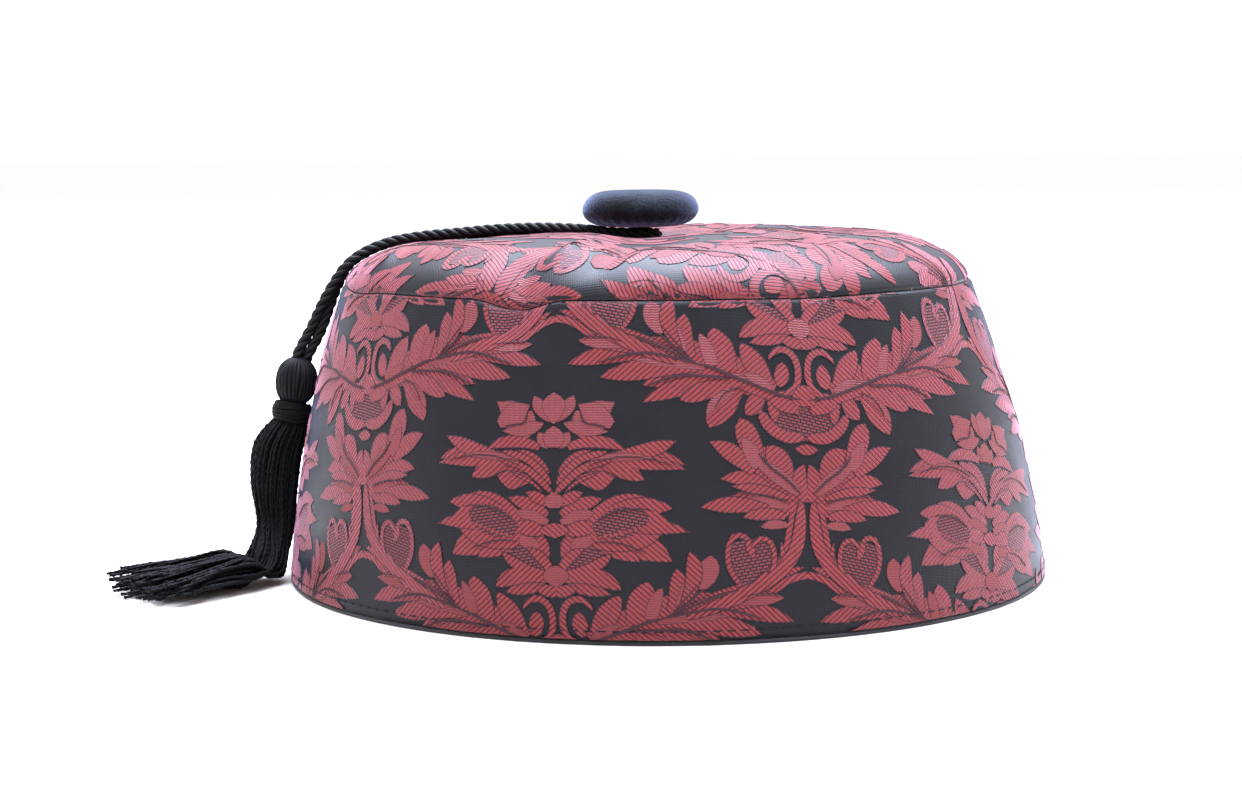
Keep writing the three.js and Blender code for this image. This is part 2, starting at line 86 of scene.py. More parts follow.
class NodeSheet:
    """The node tree of one material, written as plain sums."""

    def __init__(self, name: str) -> None:
        """Starts an empty material with its output.

        Args:
            name: the material's name.
        """
        self.material = bpy.data.materials.new(name)
        self.material.use_nodes = True
        self.tree = self.material.node_tree
        self.tree.nodes.clear()
        self.output = self.tree.nodes.new("ShaderNodeOutputMaterial")

    def node(self, kind: str, inputs: dict | None = None, **settings: object) -> bpy.types.Node:
        """Adds a node.

        Args:
            kind: the node's type.
            inputs: values or sockets, by input name or number.
            settings: the node's own properties.

        Returns:
            The node.
        """
        made = self.tree.nodes.new(kind)
        for key, value in settings.items():
            setattr(made, key, value)
        for key, value in (inputs or {}).items():
            self.feed(made.inputs[key], value)
        return made

    def feed(self, socket: Socket, value: object) -> None:
        """Links a socket into an input, or sets the input's value.

        Args:
            socket: the input.
            value: a socket, a number, a name or a colour.
        """
        if isinstance(value, bpy.types.NodeSocket):
            self.tree.links.new(value, socket)
        elif isinstance(value, tuple) and len(value) == 3 and socket.type == "RGBA":
            socket.default_value = (*value, 1.0)
        else:
            socket.default_value = value

    def sum(self, operation: str, a: object, b: object = 0.0, c: object = 0.0) -> Socket:
        """One step of arithmetic on numbers or sockets."""
        return self.node("ShaderNodeMath", {0: a, 1: b, 2: c}, operation=operation).outputs[0]

    def span(
        self, value: Socket, low: float, high: float, to_low: float = 0.0, to_high: float = 1.0
    ) -> Socket:
        """Maps low..high softly onto to_low..to_high.

        Args:
            value: what is mapped.
            low: where the map starts.
            high: where it ends.
            to_low: what low becomes.
            to_high: what high becomes.

        Returns:
            The mapped number.
        """
        made = self.node(
            "ShaderNodeMapRange",
            {"Value": value, "From Min": low, "From Max": high, "To Min": to_low, "To Max": to_high},
            interpolation_type="SMOOTHSTEP",
        )
        return made.outputs[0]

    def blend(self, share: object, a: object, b: object) -> Socket:
        """Mixes two colours by a share.

        Args:
            share: 0 for the first colour, 1 for the second.
            a: the first colour.
            b: the second colour.

        Returns:
            The mixed colour.
        """
        # The share is input 0, the two colours are inputs 6 and 7, and the mixed colour is output 2.
        made = self.node("ShaderNodeMix", data_type="RGBA")
        self.feed(made.inputs[0], share)
        self.feed(made.inputs[6], a)
        self.feed(made.inputs[7], b)
        return made.outputs[2]

    def noise(self, at: Socket, scale: float, detail: float = 2.0, roughness: float = 0.5) -> Socket:
        """Noise between 0 and 1 at a place.

        Args:
            at: the place.
            scale: how fine it is.
            detail: how many finer layers it has.
            roughness: how strong those are.

        Returns:
            The number.
        """
        made = self.node(
            "ShaderNodeTexNoise", {"Vector": at, "Scale": scale, "Detail": detail, "Roughness": roughness}
        )
        return made.outputs[0]

    def chart(self, name: str) -> tuple[Socket, Socket, Socket]:
        """A chart's two coordinates.

        Args:
            name: the chart's name on the mesh.

        Returns:
            The vector, its first number and its second number.
        """
        chart = self.node("ShaderNodeUVMap", uv_map=name).outputs[0]
        parts = self.node("ShaderNodeSeparateXYZ", {0: chart})
        return chart, parts.outputs[0], parts.outputs[1]

    def lobe_edge(self) -> Socket:
        """The distance from the edge of the lobe, in millimetres."""
        return self.node("ShaderNodeAttribute", attribute_name="edge").outputs["Fac"]

    def outlined(self, colour: Socket, depth: float = 0.93) -> Socket:
        """A colour that turns towards the ground's black along a lobe's edge: the ground's dark line between
        lobes, partly painted shade where lobes meet.
        """
        return self.blend(self.span(self.lobe_edge(), 0.13, 0.36, depth, 0.0), colour, GROUND_BLACK_AND_EDGE_SHADE)

    def stripes(self, along: Socket, pitch: float) -> Socket:
        """A wave between 0 and 1 that repeats at a pitch."""
        wave = self.sum("SINE", self.sum("MULTIPLY", along, 2 * math.pi / pitch))
        return self.sum("MULTIPLY_ADD", wave, 0.5, 0.5)

    def finish(self, height: Socket | None, depth: float, **inputs: object) -> bpy.types.Material:
        """Ends the material.

        Args:
            height: relief from 0 to 1, or None for a smooth surface.
            depth: the relief's depth in millimetres.
            inputs: the shader's inputs, with _ for a space in their names.

        Returns:
            The material.
        """
        shader = self.node("ShaderNodeBsdfPrincipled")
        for key, value in inputs.items():
            self.feed(shader.inputs[key.replace("_", " ")], value)
        if height is not None:
            bump = self.node("ShaderNodeBump", {"Strength": 1.0, "Distance": depth * MM, "Height": height})
            self.tree.links.new(bump.outputs[0], shader.inputs["Normal"])
        self.tree.links.new(shader.outputs[0], self.output.inputs[0])
        return self.material


@dataclass(frozen=True)
class Ground:
    """The brocade's black satin ground."""

    colour: Colour = (0.0075, 0.007, 0.0085)
    warp_pitch: float = 0.42

    def material(self) -> bpy.types.Material:
        """Close black satin with fine warp lines and a cool shine.

        Returns:
            The material.
        """
        sheet = NodeSheet("brocade_ground")
        chart, across, up = sheet.chart("weave")
        warp = sheet.stripes(across, self.warp_pitch)
        pick = sheet.stripes(up, self.warp_pitch * 1.7)
        cloud = sheet.noise(chart, 0.09, 3.0)
        relief = sheet.sum("MULTIPLY_ADD", warp, 0.6, sheet.sum("MULTIPLY", pick, 0.4))
        worn = sheet.blend(cloud, self.colour, tuple(1.7 * c for c in self.colour))
        colour = sheet.blend(sheet.sum("MULTIPLY", relief, 0.3), worn, (0.02, 0.019, 0.023))
        rough = sheet.span(cloud, 0.3, 0.7, 0.38, 0.46)
        return sheet.finish(
            relief,
            0.035,
            Base_Color=colour,
            Roughness=rough,
            Specular_IOR_Level=0.2,
            Specular_Tint=(0.72, 0.73, 0.76, 1.0),
            Sheen_Weight=0.11,
            Sheen_Roughness=0.22,
            Sheen_Tint=(0.4, 0.5, 1.0, 1.0),
        )


@dataclass(frozen=True)
class RibbedFigure:
    """The figure's ribbed weave: light ridges over dark red grooves, slanting from each column's axis."""

    ridge: Colour = (0.23, 0.034, 0.036)
    groove: Colour = (0.07, 0.0095, 0.0105)
    pitch: float = 0.92
    slant: float = 48.0
    relief: float = 0.16

    def material(self) -> bpy.types.Material:
        """Ribs whose grooves darken towards the edge of their lobe.

        Returns:
            The material.
        """
        sheet = NodeSheet("brocade_ribbed")
        chart, across, up = sheet.chart("weave")
        turn = math.radians(self.slant)
        along = sheet.sum("MULTIPLY_ADD", across, math.cos(turn), sheet.sum("MULTIPLY", up, math.sin(turn)))
        wander = sheet.noise(chart, 0.55, 2.0)
        rib = sheet.stripes(sheet.sum("MULTIPLY_ADD", wander, 0.35, along), self.pitch)
        raised = sheet.span(rib, 0.04, 0.42)
        rim = sheet.span(sheet.lobe_edge(), 0.12, 0.6, 1.0, 0.0)
        shade = sheet.span(sheet.noise(chart, 0.13, 3.0), 0.3, 0.7, 0.0, 0.22)
        ridge = sheet.blend(shade, self.ridge, tuple(0.62 * c for c in self.ridge))
        groove = sheet.blend(rim, self.groove, GROUND_BLACK_AND_EDGE_SHADE)
        # painted shade: each lobe's edge darkens where it meets the next lobe, beside the ground's own dark
        # line
        colour = sheet.outlined(sheet.blend(raised, groove, ridge))
        return sheet.finish(raised, self.relief, Base_Color=colour, **FIGURE_GLOSS)


@dataclass(frozen=True)
class PlainFigure:
    """The figure's smooth weave: a close muted rose twill."""

    colour: Colour = (0.165, 0.027, 0.029)
    pitch: float = 0.56
    relief: float = 0.09

    def material(self) -> bpy.types.Material:
        """Close twill with a soft change of shade.

        Returns:
            The material.
        """
        sheet = NodeSheet("brocade_smooth")
        chart, across, up = sheet.chart("weave")
        tooth = sheet.sum("FRACT", sheet.sum("DIVIDE", across, self.pitch * 2.4))
        zigzag = sheet.sum("ABSOLUTE", sheet.sum("SUBTRACT", tooth, 0.5))
        twill = sheet.stripes(sheet.sum("MULTIPLY_ADD", zigzag, 0.32, up), self.pitch)
        cloud = sheet.noise(chart, 0.16, 3.0)
        dim = sheet.blend(cloud, self.colour, tuple(0.72 * c for c in self.colour))
        colour = sheet.blend(sheet.sum("MULTIPLY", twill, 0.55), dim, (0.245, 0.047, 0.048))
        # a weaker painted shade along the lobe's edge, as on the ribs
        colour = sheet.outlined(colour, 0.6)
        return sheet.finish(twill, self.relief, Base_Color=colour, **FIGURE_GLOSS)


@dataclass(frozen=True)
class NetFigure:
    """The open net that fills flower hearts: rows of red floats on black."""

    row_pitch: float = 0.7
    float_pitch: float = 1.35
    relief: float = 0.06

    def material(self) -> bpy.types.Material:
        """Thin slanting rows, broken into floats.

        Returns:
            The material.
        """
        sheet = NodeSheet("brocade_net")
        _, across, up = sheet.chart("weave")
        height = sheet.sum("MULTIPLY_ADD", across, 0.2, up)
        rows = sheet.span(sheet.stripes(height, self.row_pitch), 0.22, 0.8)
        row_number = sheet.sum("FLOOR", sheet.sum("DIVIDE", height, self.row_pitch))
        shifted = sheet.sum("MULTIPLY_ADD", row_number, self.float_pitch * 0.38, across)
        floats = sheet.span(sheet.stripes(shifted, self.float_pitch), 0.02, 0.26)
        red = sheet.sum("MULTIPLY", rows, floats)
        colour = sheet.blend(red, (0.024, 0.0085, 0.011), (0.18, 0.031, 0.034))
        return sheet.finish(red, self.relief, Base_Color=colour, **FIGURE_GLOSS)


@dataclass(frozen=True)
class VeinFigure:
    """The sunk dark lines between lobes."""

    colour: Colour = (0.022, 0.006, 0.009)

    def material(self) -> bpy.types.Material:
        """Dark maroon, a little mottled.

        Returns:
            The material.
        """
        sheet = NodeSheet("brocade_vein")
        chart, _, _ = sheet.chart("weave")
        mottle = sheet.noise(chart, 1.4)
        colour = sheet.blend(mottle, self.colour, tuple(1.9 * c for c in self.colour))
        return sheet.finish(mottle, 0.03, Base_Color=colour, Roughness=0.6, Specular_IOR_Level=0.3)


@dataclass(frozen=True)
class BlackCloth:
    """Matt black twill of the binding and the plain lining."""

    name: str
    colour: Colour = (0.012, 0.012, 0.014)
    pitch: float = 0.6

    def material(self) -> bpy.types.Material:
        """Twill lines with a faint nap.

        Returns:
            The material.
        """
        sheet = NodeSheet(self.name)
        chart, across, up = sheet.chart("weave")
        twill = sheet.stripes(sheet.sum("ADD", across, up), self.pitch)
        nap = sheet.noise(chart, 1.1, 3.0)
        worn = tuple(2.6 * c for c in self.colour)
        colour = sheet.blend(sheet.sum("MULTIPLY", twill, nap), self.colour, worn)
        return sheet.finish(
            twill,
            0.05,
            Base_Color=colour,
            Roughness=0.72,
            Specular_IOR_Level=0.35,
            Sheen_Weight=0.2,
            Sheen_Roughness=0.5,
        )


@dataclass(frozen=True)
class Velvet:
    """Short black pile with a cool sheen, partly painted into its colour as bluish patches."""

    colour: Colour = (0.0035, 0.004, 0.0055)

    def material(self) -> bpy.types.Material:
        """Pile broken up into small tufts and brushed patches, with painted sheen: a pale blue colour on the
        tufts of those patches.

        Returns:
            The material.
        """
        sheet = NodeSheet("button_velvet")
        at = sheet.node("ShaderNodeTexCoord").outputs["Object"]
        tufts = sheet.noise(at, 1500.0, 4.0, 0.7)
        brushed = sheet.noise(at, 190.0, 3.0)
        painted_sheen_patches = sheet.span(brushed, 0.35, 0.7)
        light = sheet.sum("MULTIPLY", painted_sheen_patches, sheet.span(tufts, 0.35, 0.75))
        # painted sheen: the pale blue colour stands in for the pile's shine on its brushed patches and tufts
        colour = sheet.blend(light, self.colour, (0.022, 0.029, 0.05))
        return sheet.finish(
            tufts,
            0.34,
            Base_Color=colour,
            Roughness=0.8,
            Specular_IOR_Level=0.14,
            Sheen_Weight=1.0,
            Sheen_Roughness=0.26,
            Sheen_Tint=(0.48, 0.6, 1.0, 1.0),
        )


@dataclass(frozen=True)
class Rayon:
    """Lustrous black thread."""

    name: str
    colour: Colour = (0.004, 0.004, 0.005)
    lay: float = 0.5
    roughness: float = 0.5
    specular: float = 0.18

    def material(self) -> bpy.types.Material:
        """Fine yarns that wind round the thread, along its chart.

        Returns:
            The material.
        """
        sheet = NodeSheet(self.name)
        chart, along, round_it = sheet.chart("weave")
        yarn = sheet.stripes(sheet.sum("MULTIPLY_ADD", round_it, self.lay, along), self.lay)
        fuzz = sheet.noise(chart, 3.2, 3.0, 0.65)
        light = sheet.sum("MULTIPLY", sheet.span(yarn, 0.3, 0.9), fuzz)
        colour = sheet.blend(light, self.colour, (0.014, 0.014, 0.017))
        return sheet.finish(
            sheet.sum("MULTIPLY_ADD", yarn, 0.7, sheet.sum("MULTIPLY", fuzz, 0.3)),
            0.07,
            Base_Color=colour,
            Roughness=self.roughness,
            Specular_IOR_Level=self.specular,
            Sheen_Weight=0.02,
            Sheen_Roughness=0.4,
        )


@dataclass
class Patch:
    """Mesh parts under construction: places in millimetres, faces, and what the materials read.

    Crisp is the angle in degrees beyond which a fold between faces is drawn sharp.
    """

    places: np.ndarray
    faces: list
    chart: np.ndarray
    edge: np.ndarray | None = None
    slots: list | None = None
    crisp: float | None = None

    def build(self, name: str, materials: list, body: str = "root") -> bpy.types.Object:
        """Makes the object and lets it ride.

        Args:
            name: the piece's name.
            materials: the materials that slots count.
            body: the body that it rides on.

        Returns:
            The object.
        """
        mesh = bpy.data.meshes.new(name)
        mesh.from_pydata((self.places * MM).tolist(), [], self.faces)
        for material in materials:
            mesh.materials.append(material)
        if self.slots:
            mesh.polygons.foreach_set("material_index", self.slots)
        loops = np.empty(len(mesh.loops), dtype=np.int32)
        mesh.loops.foreach_get("vertex_index", loops)
        chart = self.chart[loops].astype(np.float32).ravel()
        mesh.uv_layers.new(name="weave").uv.foreach_set("vector", chart)
        if self.edge is not None:
            store = mesh.attributes.new("edge", "FLOAT", "POINT")
            store.data.foreach_set("value", self.edge.astype(np.float32))
        mesh.polygons.foreach_set("use_smooth", [True] * len(mesh.polygons))
        if self.crisp is not None:
            mesh.set_sharp_from_angle(angle=math.radians(self.crisp))
        mesh.update()
        piece = placed(name, mesh)
        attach(piece, body)
        return piece


def grid_faces(columns: int, rows: int, closed: bool, turned: bool = False) -> list:
    """Quads of a grid whose vertices run row by row.

    Args:
        columns: vertices in a row.
        rows: how many rows.
        closed: whether each row joins up.
        turned: whether the faces look the other way.

    Returns:
        The quads.
    """
    faces = []
    for row in range(rows - 1):
        for column in range(columns if closed else columns - 1):
            after = (column + 1) % columns
            a, b = row * columns + column, row * columns + after
            quad = (a, b, b + columns, a + columns)
            faces.append(quad[::-1] if turned else quad)
    return faces


def tube_faces(sides: int, rings: int) -> list:
    """The faces of a tube with flat ends, whose vertices run ring by ring.

    Args:
        sides: vertices in a ring.
        rings: how many rings.

    Returns:
        The quads and the two ends.
    """
    ends = [tuple(range(sides))[::-1], tuple(range((rings - 1) * sides, rings * sides))]
    return grid_faces(sides, rings, True) + ends


def line_reach(line: np.ndarray) -> np.ndarray:
    """The length from a line's start to each of its places."""
    return np.concatenate([[0.0], np.cumsum(np.linalg.norm(np.diff(line, axis=0), axis=1))])


def smooth_line(points: list, steps: int) -> np.ndarray:
    """A centripetal curve through points, in equal steps of length.

    Args:
        points: the points to pass through.
        steps: how many spans to return.

    Returns:
        Steps + 1 places.
    """
    p = np.asarray(points, dtype=float)
    p = np.vstack([2 * p[0] - p[1], p, 2 * p[-1] - p[-2]])
    dense = []
    for i in range(1, len(p) - 2):
        gaps = [max(np.linalg.norm(p[i + k] - p[i + k - 1]) ** 0.5, 1e-6) for k in range(3)]
        t = np.concatenate([[0.0], np.cumsum(gaps)])
        u = np.linspace(t[1], t[2], 24, endpoint=False)[:, None]
        a = [(t[k + 1] - u) / gaps[k] * p[i + k - 1] + (u - t[k]) / gaps[k] * p[i + k] for k in range(3)]
        b = [
            (t[k + 2] - u) / (t[k + 2] - t[k]) * a[k] + (u - t[k]) / (t[k + 2] - t[k]) * a[k + 1]
            for k in range(2)
        ]
        dense.append((t[2] - u) / (t[2] - t[1]) * b[0] + (u - t[1]) / (t[2] - t[1]) * b[1])
    line = np.vstack([*dense, p[-2]])
    length = line_reach(line)
    at = np.linspace(0.0, length[-1], steps + 1)
    return np.stack([np.interp(at, length, line[:, k]) for k in range(line.shape[1])], 1)


def line_length(line: np.ndarray) -> float:
    """The length of a line of places."""
    return float(np.linalg.norm(np.diff(line, axis=0), axis=1).sum())


def line_frames(line: np.ndarray) -> tuple[np.ndarray, np.ndarray]:
    """Two directions across a line at each place, carried along it without twist.

    Args:
        line: the places.

    Returns:
        For each place, the two directions.
    """
    ahead = np.gradient(line, axis=0)
    ahead /= np.linalg.norm(ahead, axis=1, keepdims=True)
    side = np.cross(ahead[0], (0.0, 0.0, 1.0) if abs(ahead[0][2]) < 0.9 else (0.0, 1.0, 0.0))
    sides = []
    for direction in ahead:
        side = side - direction * (side @ direction)
        side = side / np.linalg.norm(side)
        sides.append(side)
    sides = np.array(sides)
    return sides, np.cross(ahead, sides)


def thread(line: np.ndarray, radius: np.ndarray | float, sides: int = 6) -> Patch:
    """A round thread along a line.

    Args:
        line: the places that it follows.
        radius: its radius, or one for each place.
        sides: how many flats it has round it.

    Returns:
        The patch, with length and turn in its chart.
    """
    count = len(line)
    radius = np.broadcast_to(np.asarray(radius, dtype=float), (count,))
    a, b = line_frames(line)
    turn = np.arange(sides) * 2 * math.pi / sides
    ring = a[:, None, :] * np.cos(turn)[None, :, None] + b[:, None, :] * np.sin(turn)[None, :, None]
    places = (line[:, None, :] + ring * radius[:, None, None]).reshape(-1, 3)
    along = line_reach(line)
    round_it = np.arange(sides)[None, :] / sides
    chart = np.stack(np.broadcast_arrays(along[:, None], round_it), -1).reshape(-1, 2)
    return Patch(places, tube_faces(sides, count), chart)


def gathered(patches: list) -> Patch:
    """Many patches as one.

    Args:
        patches: the patches.

    Returns:
        The one patch.
    """
    steps = np.cumsum([0] + [len(p.places) for p in patches[:-1]])
    faces = []
    slots = []
    for patch, step in zip(patches, steps):
        faces += [tuple(i + int(step) for i in face) for face in patch.faces]
        slots += patch.slots or [0] * len(patch.faces)
    places = np.vstack([patch.places for patch in patches])
    chart = np.vstack([patch.chart for patch in patches])
    return Patch(places, faces, chart, slots=slots)


# The cap's form


@dataclass(frozen=True)
class Fold:
    """A fold of the crown: shares of the seam radius and of the rise, and angles in degrees."""

    azimuth: float
    turn: float
    inner: float
    outer: float
    rise: float
    width: float


@dataclass(frozen=True)
class Pull:
    """A place where the seam is pulled down and in: angles in degrees, shares of rise and height."""

    azimuth: float
    half_angle: float
    drop: float
    inward: float
    reach: float


def bump(distance: np.ndarray, width: float) -> np.ndarray:
    """1 in the middle of a fold, fading to 0 at its width."""
    return np.where(np.abs(distance) < width, (1 + np.cos(np.pi * distance / width)) / 2, 0.0)


def soft_step(value: np.ndarray, low: float, high: float) -> np.ndarray:
    """A soft step from 0 at low to 1 at high."""
    share = np.clip((value - low) / (high - low), 0.0, 1.0)
    return share * share * (3 - 2 * share)


def turn_between(start: float, end: np.ndarray) -> np.ndarray:
    """The angle from one azimuth to others, between -180 and 180 degrees."""
    return (end - start + 540.0) % 360.0 - 180.0


@dataclass(frozen=True)
class CapForm:
    """The cap's measured form, which every piece of cloth follows."""

    base_radius: float = 95.0
    seam_radius: float = 78.3
    band_height: float = 73.6
    band_bow: float = 2.6
    band_thickness: float = 2.2
    crown_thickness: float = 2.0
    crown_rise: float = 12.6
    lean_x: float = -2.2
    lean_y: float = 0.5
    seam_gap: float = 0.3
    binding_shown: float = 0.9
    section: tuple = (
        (1.0, 0.0),
        (0.977, 0.24),
        (0.945, 0.43),
        (0.894, 0.61),
        (0.842, 0.75),
        (0.79, 0.83),
        (0.72, 0.88),
        (0.588, 0.93),
        (0.46, 0.975),
        (0.33, 1.0),
        (0.2, 0.9),
        (0.1, 0.75),
    )
    folds: tuple = (
        Fold(180, 0, 0.08, 1.0, -0.15, 0.3),
        Fold(262, -12, 0.62, 0.98, 0.15, 0.055),
        Fold(270, -10, 0.66, 0.98, -0.12, 0.06),
        Fold(206, 6, 0.82, 1.0, 0.12, 0.09),
        Fold(14, -6, 0.1, 0.5, 0.08, 0.12),
        Fold(352, 4, 0.1, 0.62, -0.05, 0.12),
        Fold(266, 0, 0.1, 0.8, -0.16, 0.2),
        Fold(50, 8, 0.35, 0.9, -0.13, 0.12),
        Fold(318, -10, 0.4, 0.85, -0.07, 0.1),
        Fold(118, 10, 0.25, 0.85, -0.11, 0.11),
        Fold(150, -8, 0.3, 0.8, 0.08, 0.1),
    )
    pulls: tuple = (
        Pull(249, 9, 0.19, 0.09, 0.22),
        Pull(208, 12, 0.05, -0.06, 0.18),
        Pull(300, 16, 0.03, 0.05, 0.35),
        Pull(75, 14, 0.08, 0.08, 0.3),
        Pull(140, 18, 0.04, 0.1, 0.45),
    )

    def band_radius(self, share: np.ndarray) -> np.ndarray:
        """Outside radius of the band at a share of its height."""
        straight = self.base_radius + (self.seam_radius - self.base_radius) * share
        return straight + self.band_bow * 4 * share * (1 - share)

    def seam_pull(self, azimuth: np.ndarray, share: np.ndarray) -> tuple[np.ndarray, np.ndarray]:
        """Drop and inward pull at azimuths in degrees and shares of the band's height.

        Args:
            azimuth: degrees, counter-clockwise from +X.
            share: share of the height from the table to the seam.

        Returns:
            The drop and the inward pull, in millimetres.
        """
        drop = np.zeros(np.broadcast(azimuth, share).shape)
        inward = np.zeros_like(drop)
        for pull in self.pulls:
            near = bump(turn_between(pull.azimuth, azimuth), pull.half_angle)
            near = near * soft_step(share, 1 - pull.reach, 1.0)
            drop += pull.drop * self.crown_rise * near
            inward += pull.inward * self.crown_rise * near
        return drop, inward

    def band(self, azimuth: np.ndarray, share: np.ndarray, lift: np.ndarray) -> np.ndarray:
        """Places on the band.

        Args:
            azimuth: radians, counter-clockwise from +X.
            share: share of the height from the table to the seam.
            lift: millimetres proud of the cloth's outside, below zero for inside it.

        Returns:
            The places, in millimetres.
        """
        drop, inward = self.seam_pull(np.degrees(azimuth), share)
        radius = self.band_radius(share) - inward + lift + self.puckers(azimuth, share)
        x = radius * np.cos(azimuth) + self.lean_x * np.minimum(share, 1.0)
        y = radius * np.sin(azimuth) + self.lean_y * np.minimum(share, 1.0)
        return np.stack([x, y, share * self.band_height - drop], -1)

    def puckers(self, azimuth: np.ndarray, share: np.ndarray) -> np.ndarray:
        """Small unevenness of the sewn cloth, strongest beside the seam and the stitched edge.

        Args:
            azimuth: radians, counter-clockwise from +X.
            share: share of the height from the table to the seam.

        Returns:
            What they add to the radius.
        """
        wave = np.sin(7 * azimuth + 0.8) + 0.7 * np.sin(13 * azimuth + 2.1)
        wave = wave + 0.5 * np.sin(29 * azimuth + 4.0)
        near_seam = soft_step(share, 0.82, 1.0)
        near_edge = 1 - soft_step(share, 0.0, 0.1)
        middle = np.sin(3 * azimuth + 5 * share) * np.sin(np.pi * np.clip(share, 0, 1))
        return 0.14 * wave * near_seam + 0.08 * wave * near_edge + 0.22 * middle

    def crown_profile(self) -> tuple[np.ndarray, np.ndarray, np.ndarray]:
        """The crown's section as cloth length from the middle, radius and height above the seam.

        Returns:
            Those three, at many steps.
        """
        middle = (0.0, self.section[-1][1] - 0.015)
        rows = [middle, *self.section[::-1]]
        line = smooth_line([(r * self.seam_radius, h * self.crown_rise) for r, h in rows], 600)
        length = line_reach(line)
        return length, line[:, 0], line[:, 1]

    def crown_folds(self, share: np.ndarray, azimuth: np.ndarray) -> np.ndarray:
        """What the folds add to the crown's height, at shares of the seam radius and azimuths in degrees.

        Args:
            share: shares of the seam radius.
            azimuth: degrees, counter-clockwise from +X.

        Returns:
            The added height, in millimetres.
        """
        rise = np.zeros(np.broadcast(share, azimuth).shape)
        for fold in self.folds:
            along = (share - fold.inner) / (fold.outer - fold.inner)
            across = share * np.radians(turn_between(fold.azimuth + fold.turn * along, azimuth))
            inside = (along > 0) & (along < 1)
            swell = np.sin(np.pi * np.clip(along, 0, 1))
            hill = fold.rise * self.crown_rise * bump(across, fold.width) * swell
            rise += np.where(inside, hill, 0.0)
        return rise

    def crown(self, reach: np.ndarray, azimuth: np.ndarray, lift: np.ndarray) -> np.ndarray:
        """Places on the crown.

        Args:
            reach: length over the cloth from the crown's middle.
            azimuth: radians, counter-clockwise from +X.
            lift: millimetres proud of the cloth's outside, below zero for under it.

        Returns:
            The places, in millimetres.
        """
        length, radii, heights = self.crown_profile()
        radius = np.interp(reach, length, radii)
        height = np.interp(reach, length, heights)
        run = np.interp(reach, length, np.gradient(radii, length))
        fall = np.interp(reach, length, np.gradient(heights, length))
        share = radius / self.seam_radius
        degrees = np.degrees(azimuth)
        at_seam = soft_step(share, 0.8, (self.seam_radius - self.band_thickness) / self.seam_radius)
        drop, inward = self.seam_pull(degrees, 1.0)
        out = radius - inward * at_seam - fall * lift
        z = self.band_height + height + self.crown_folds(share, degrees) - drop * at_seam + run * lift
        z = z + 0.3 * np.sin(np.pi * share) * np.sin(5 * azimuth + 7 * share + 1.0)
        return np.stack([out * np.cos(azimuth) + self.lean_x, out * np.sin(azimuth) + self.lean_y, z], -1)

    def crown_height_at(self, x: float, y: float) -> float:
        """Height of the crown's outside above the table at a place on the plan.

        Args:
            x: the place to the right.
            y: the place towards the back.

        Returns:
            The height.
        """
        across = math.hypot(x - self.lean_x, y - self.lean_y)
        length, radii, _ = self.crown_profile()
        reach = np.interp(min(across, self.seam_radius), radii, length)
        azimuth = math.atan2(y - self.lean_y, x - self.lean_x)
        return float(self.crown(np.array([reach]), np.array([azimuth]), np.array([0.0]))[0, 2])

    def crown_reach(self) -> float:
        """Length over the cloth from the crown's middle to the seam."""
        return float(self.crown_profile()[0][-1])


# The woven figure


class Weave(Enum):
    """How a stretch of the figure is woven. The value is its place in the figure's materials."""

    RIB = 0
    SMOOTH = 1
    NET = 2
    VEIN = 3

    @property
    def fullness(self) -> float:
        """How much a lobe of this weave spreads beyond its chart."""
        return (1.34, 1.15, 1.08, 1.0)[self.value]


@dataclass(frozen=True)
class Lobe:
    """A petal or leaf lobe right of its column's axis, in millimetres from the daisy's middle.

    It runs from base to tip, bent to its left by half of bend. Left and right are its half widths, root the
    share of them at the base, belly where it is widest, and point how sharp its tip is.
    """

    base: tuple
    tip: tuple
    bend: float
    left: float
    right: float
    root: float = 0.4
    belly: float = 0.5
    point: float = 1.0
    weave: Weave = Weave.RIB
    layer: int = 0

    def on_axis(self) -> bool:
        """Whether it lies across its column's axis, so that it isn't mirrored.

        Returns:
            True for such a lobe.
        """
        return self.bend == 0 and self.left == self.right and self.base[0] == -self.tip[0] and (
            self.base[0] == 0 or self.base[1] == self.tip[1]
        )

    def ladder(self) -> tuple[np.ndarray, np.ndarray, np.ndarray]:
        """Its middle line, and its half widths to the left and right.

        Returns:
            The line and the two rows of widths.
        """
        base, tip = np.array(self.base, float), np.array(self.tip, float)
        length = np.linalg.norm(tip - base)
        sideways = np.array([-(tip - base)[1], (tip - base)[0]]) / length
        steps = int(np.clip(5 + length / 1.7, 6, 13))
        s = np.linspace(0.0, 1.0, steps)
        turn = (base + tip) / 2 + sideways * self.bend
        line = ((1 - s) ** 2)[:, None] * base + (2 * s * (1 - s))[:, None] * turn + (s**2)[:, None] * tip
        rise = self.root + (1 - self.root) * np.sin(np.pi / 2 * np.minimum(s / self.belly, 1))
        fall = np.cos(np.pi / 2 * np.clip((s - self.belly) / (1 - self.belly), 0, 1)) ** (0.85 * self.point)
        width = np.maximum(np.where(s < self.belly, rise, fall), 0.04)
        return line, width * self.left * self.weave.fullness, width * self.right * self.weave.fullness


@dataclass(frozen=True)
class Strap:
    """A stem, vein or scroll of even width through points, right of its column's axis."""

    points: tuple
    half_width: float
    weave: Weave = Weave.RIB
    layer: int = 1
    taper: float = 0.35

    def on_axis(self) -> bool:
        """A strap is always mirrored."""
        return False

    def ladder(self) -> tuple[np.ndarray, np.ndarray, np.ndarray]:
        """Its middle line, and its half widths to the left and right.

        Returns:
            The line and the two rows of widths.
        """
        rough = line_length(np.array(self.points, float))
        line = smooth_line(self.points, int(np.clip(rough / 1.3, 6, 30)))
        s = np.linspace(0.0, 1.0, len(line))
        width = self.half_width * (1 - (1 - self.taper) * np.abs(2 * s - 1) ** 5)
        return line, width, width


RIB, SMOOTH, NET, VEIN = Weave.RIB, Weave.SMOOTH, Weave.NET, Weave.VEIN

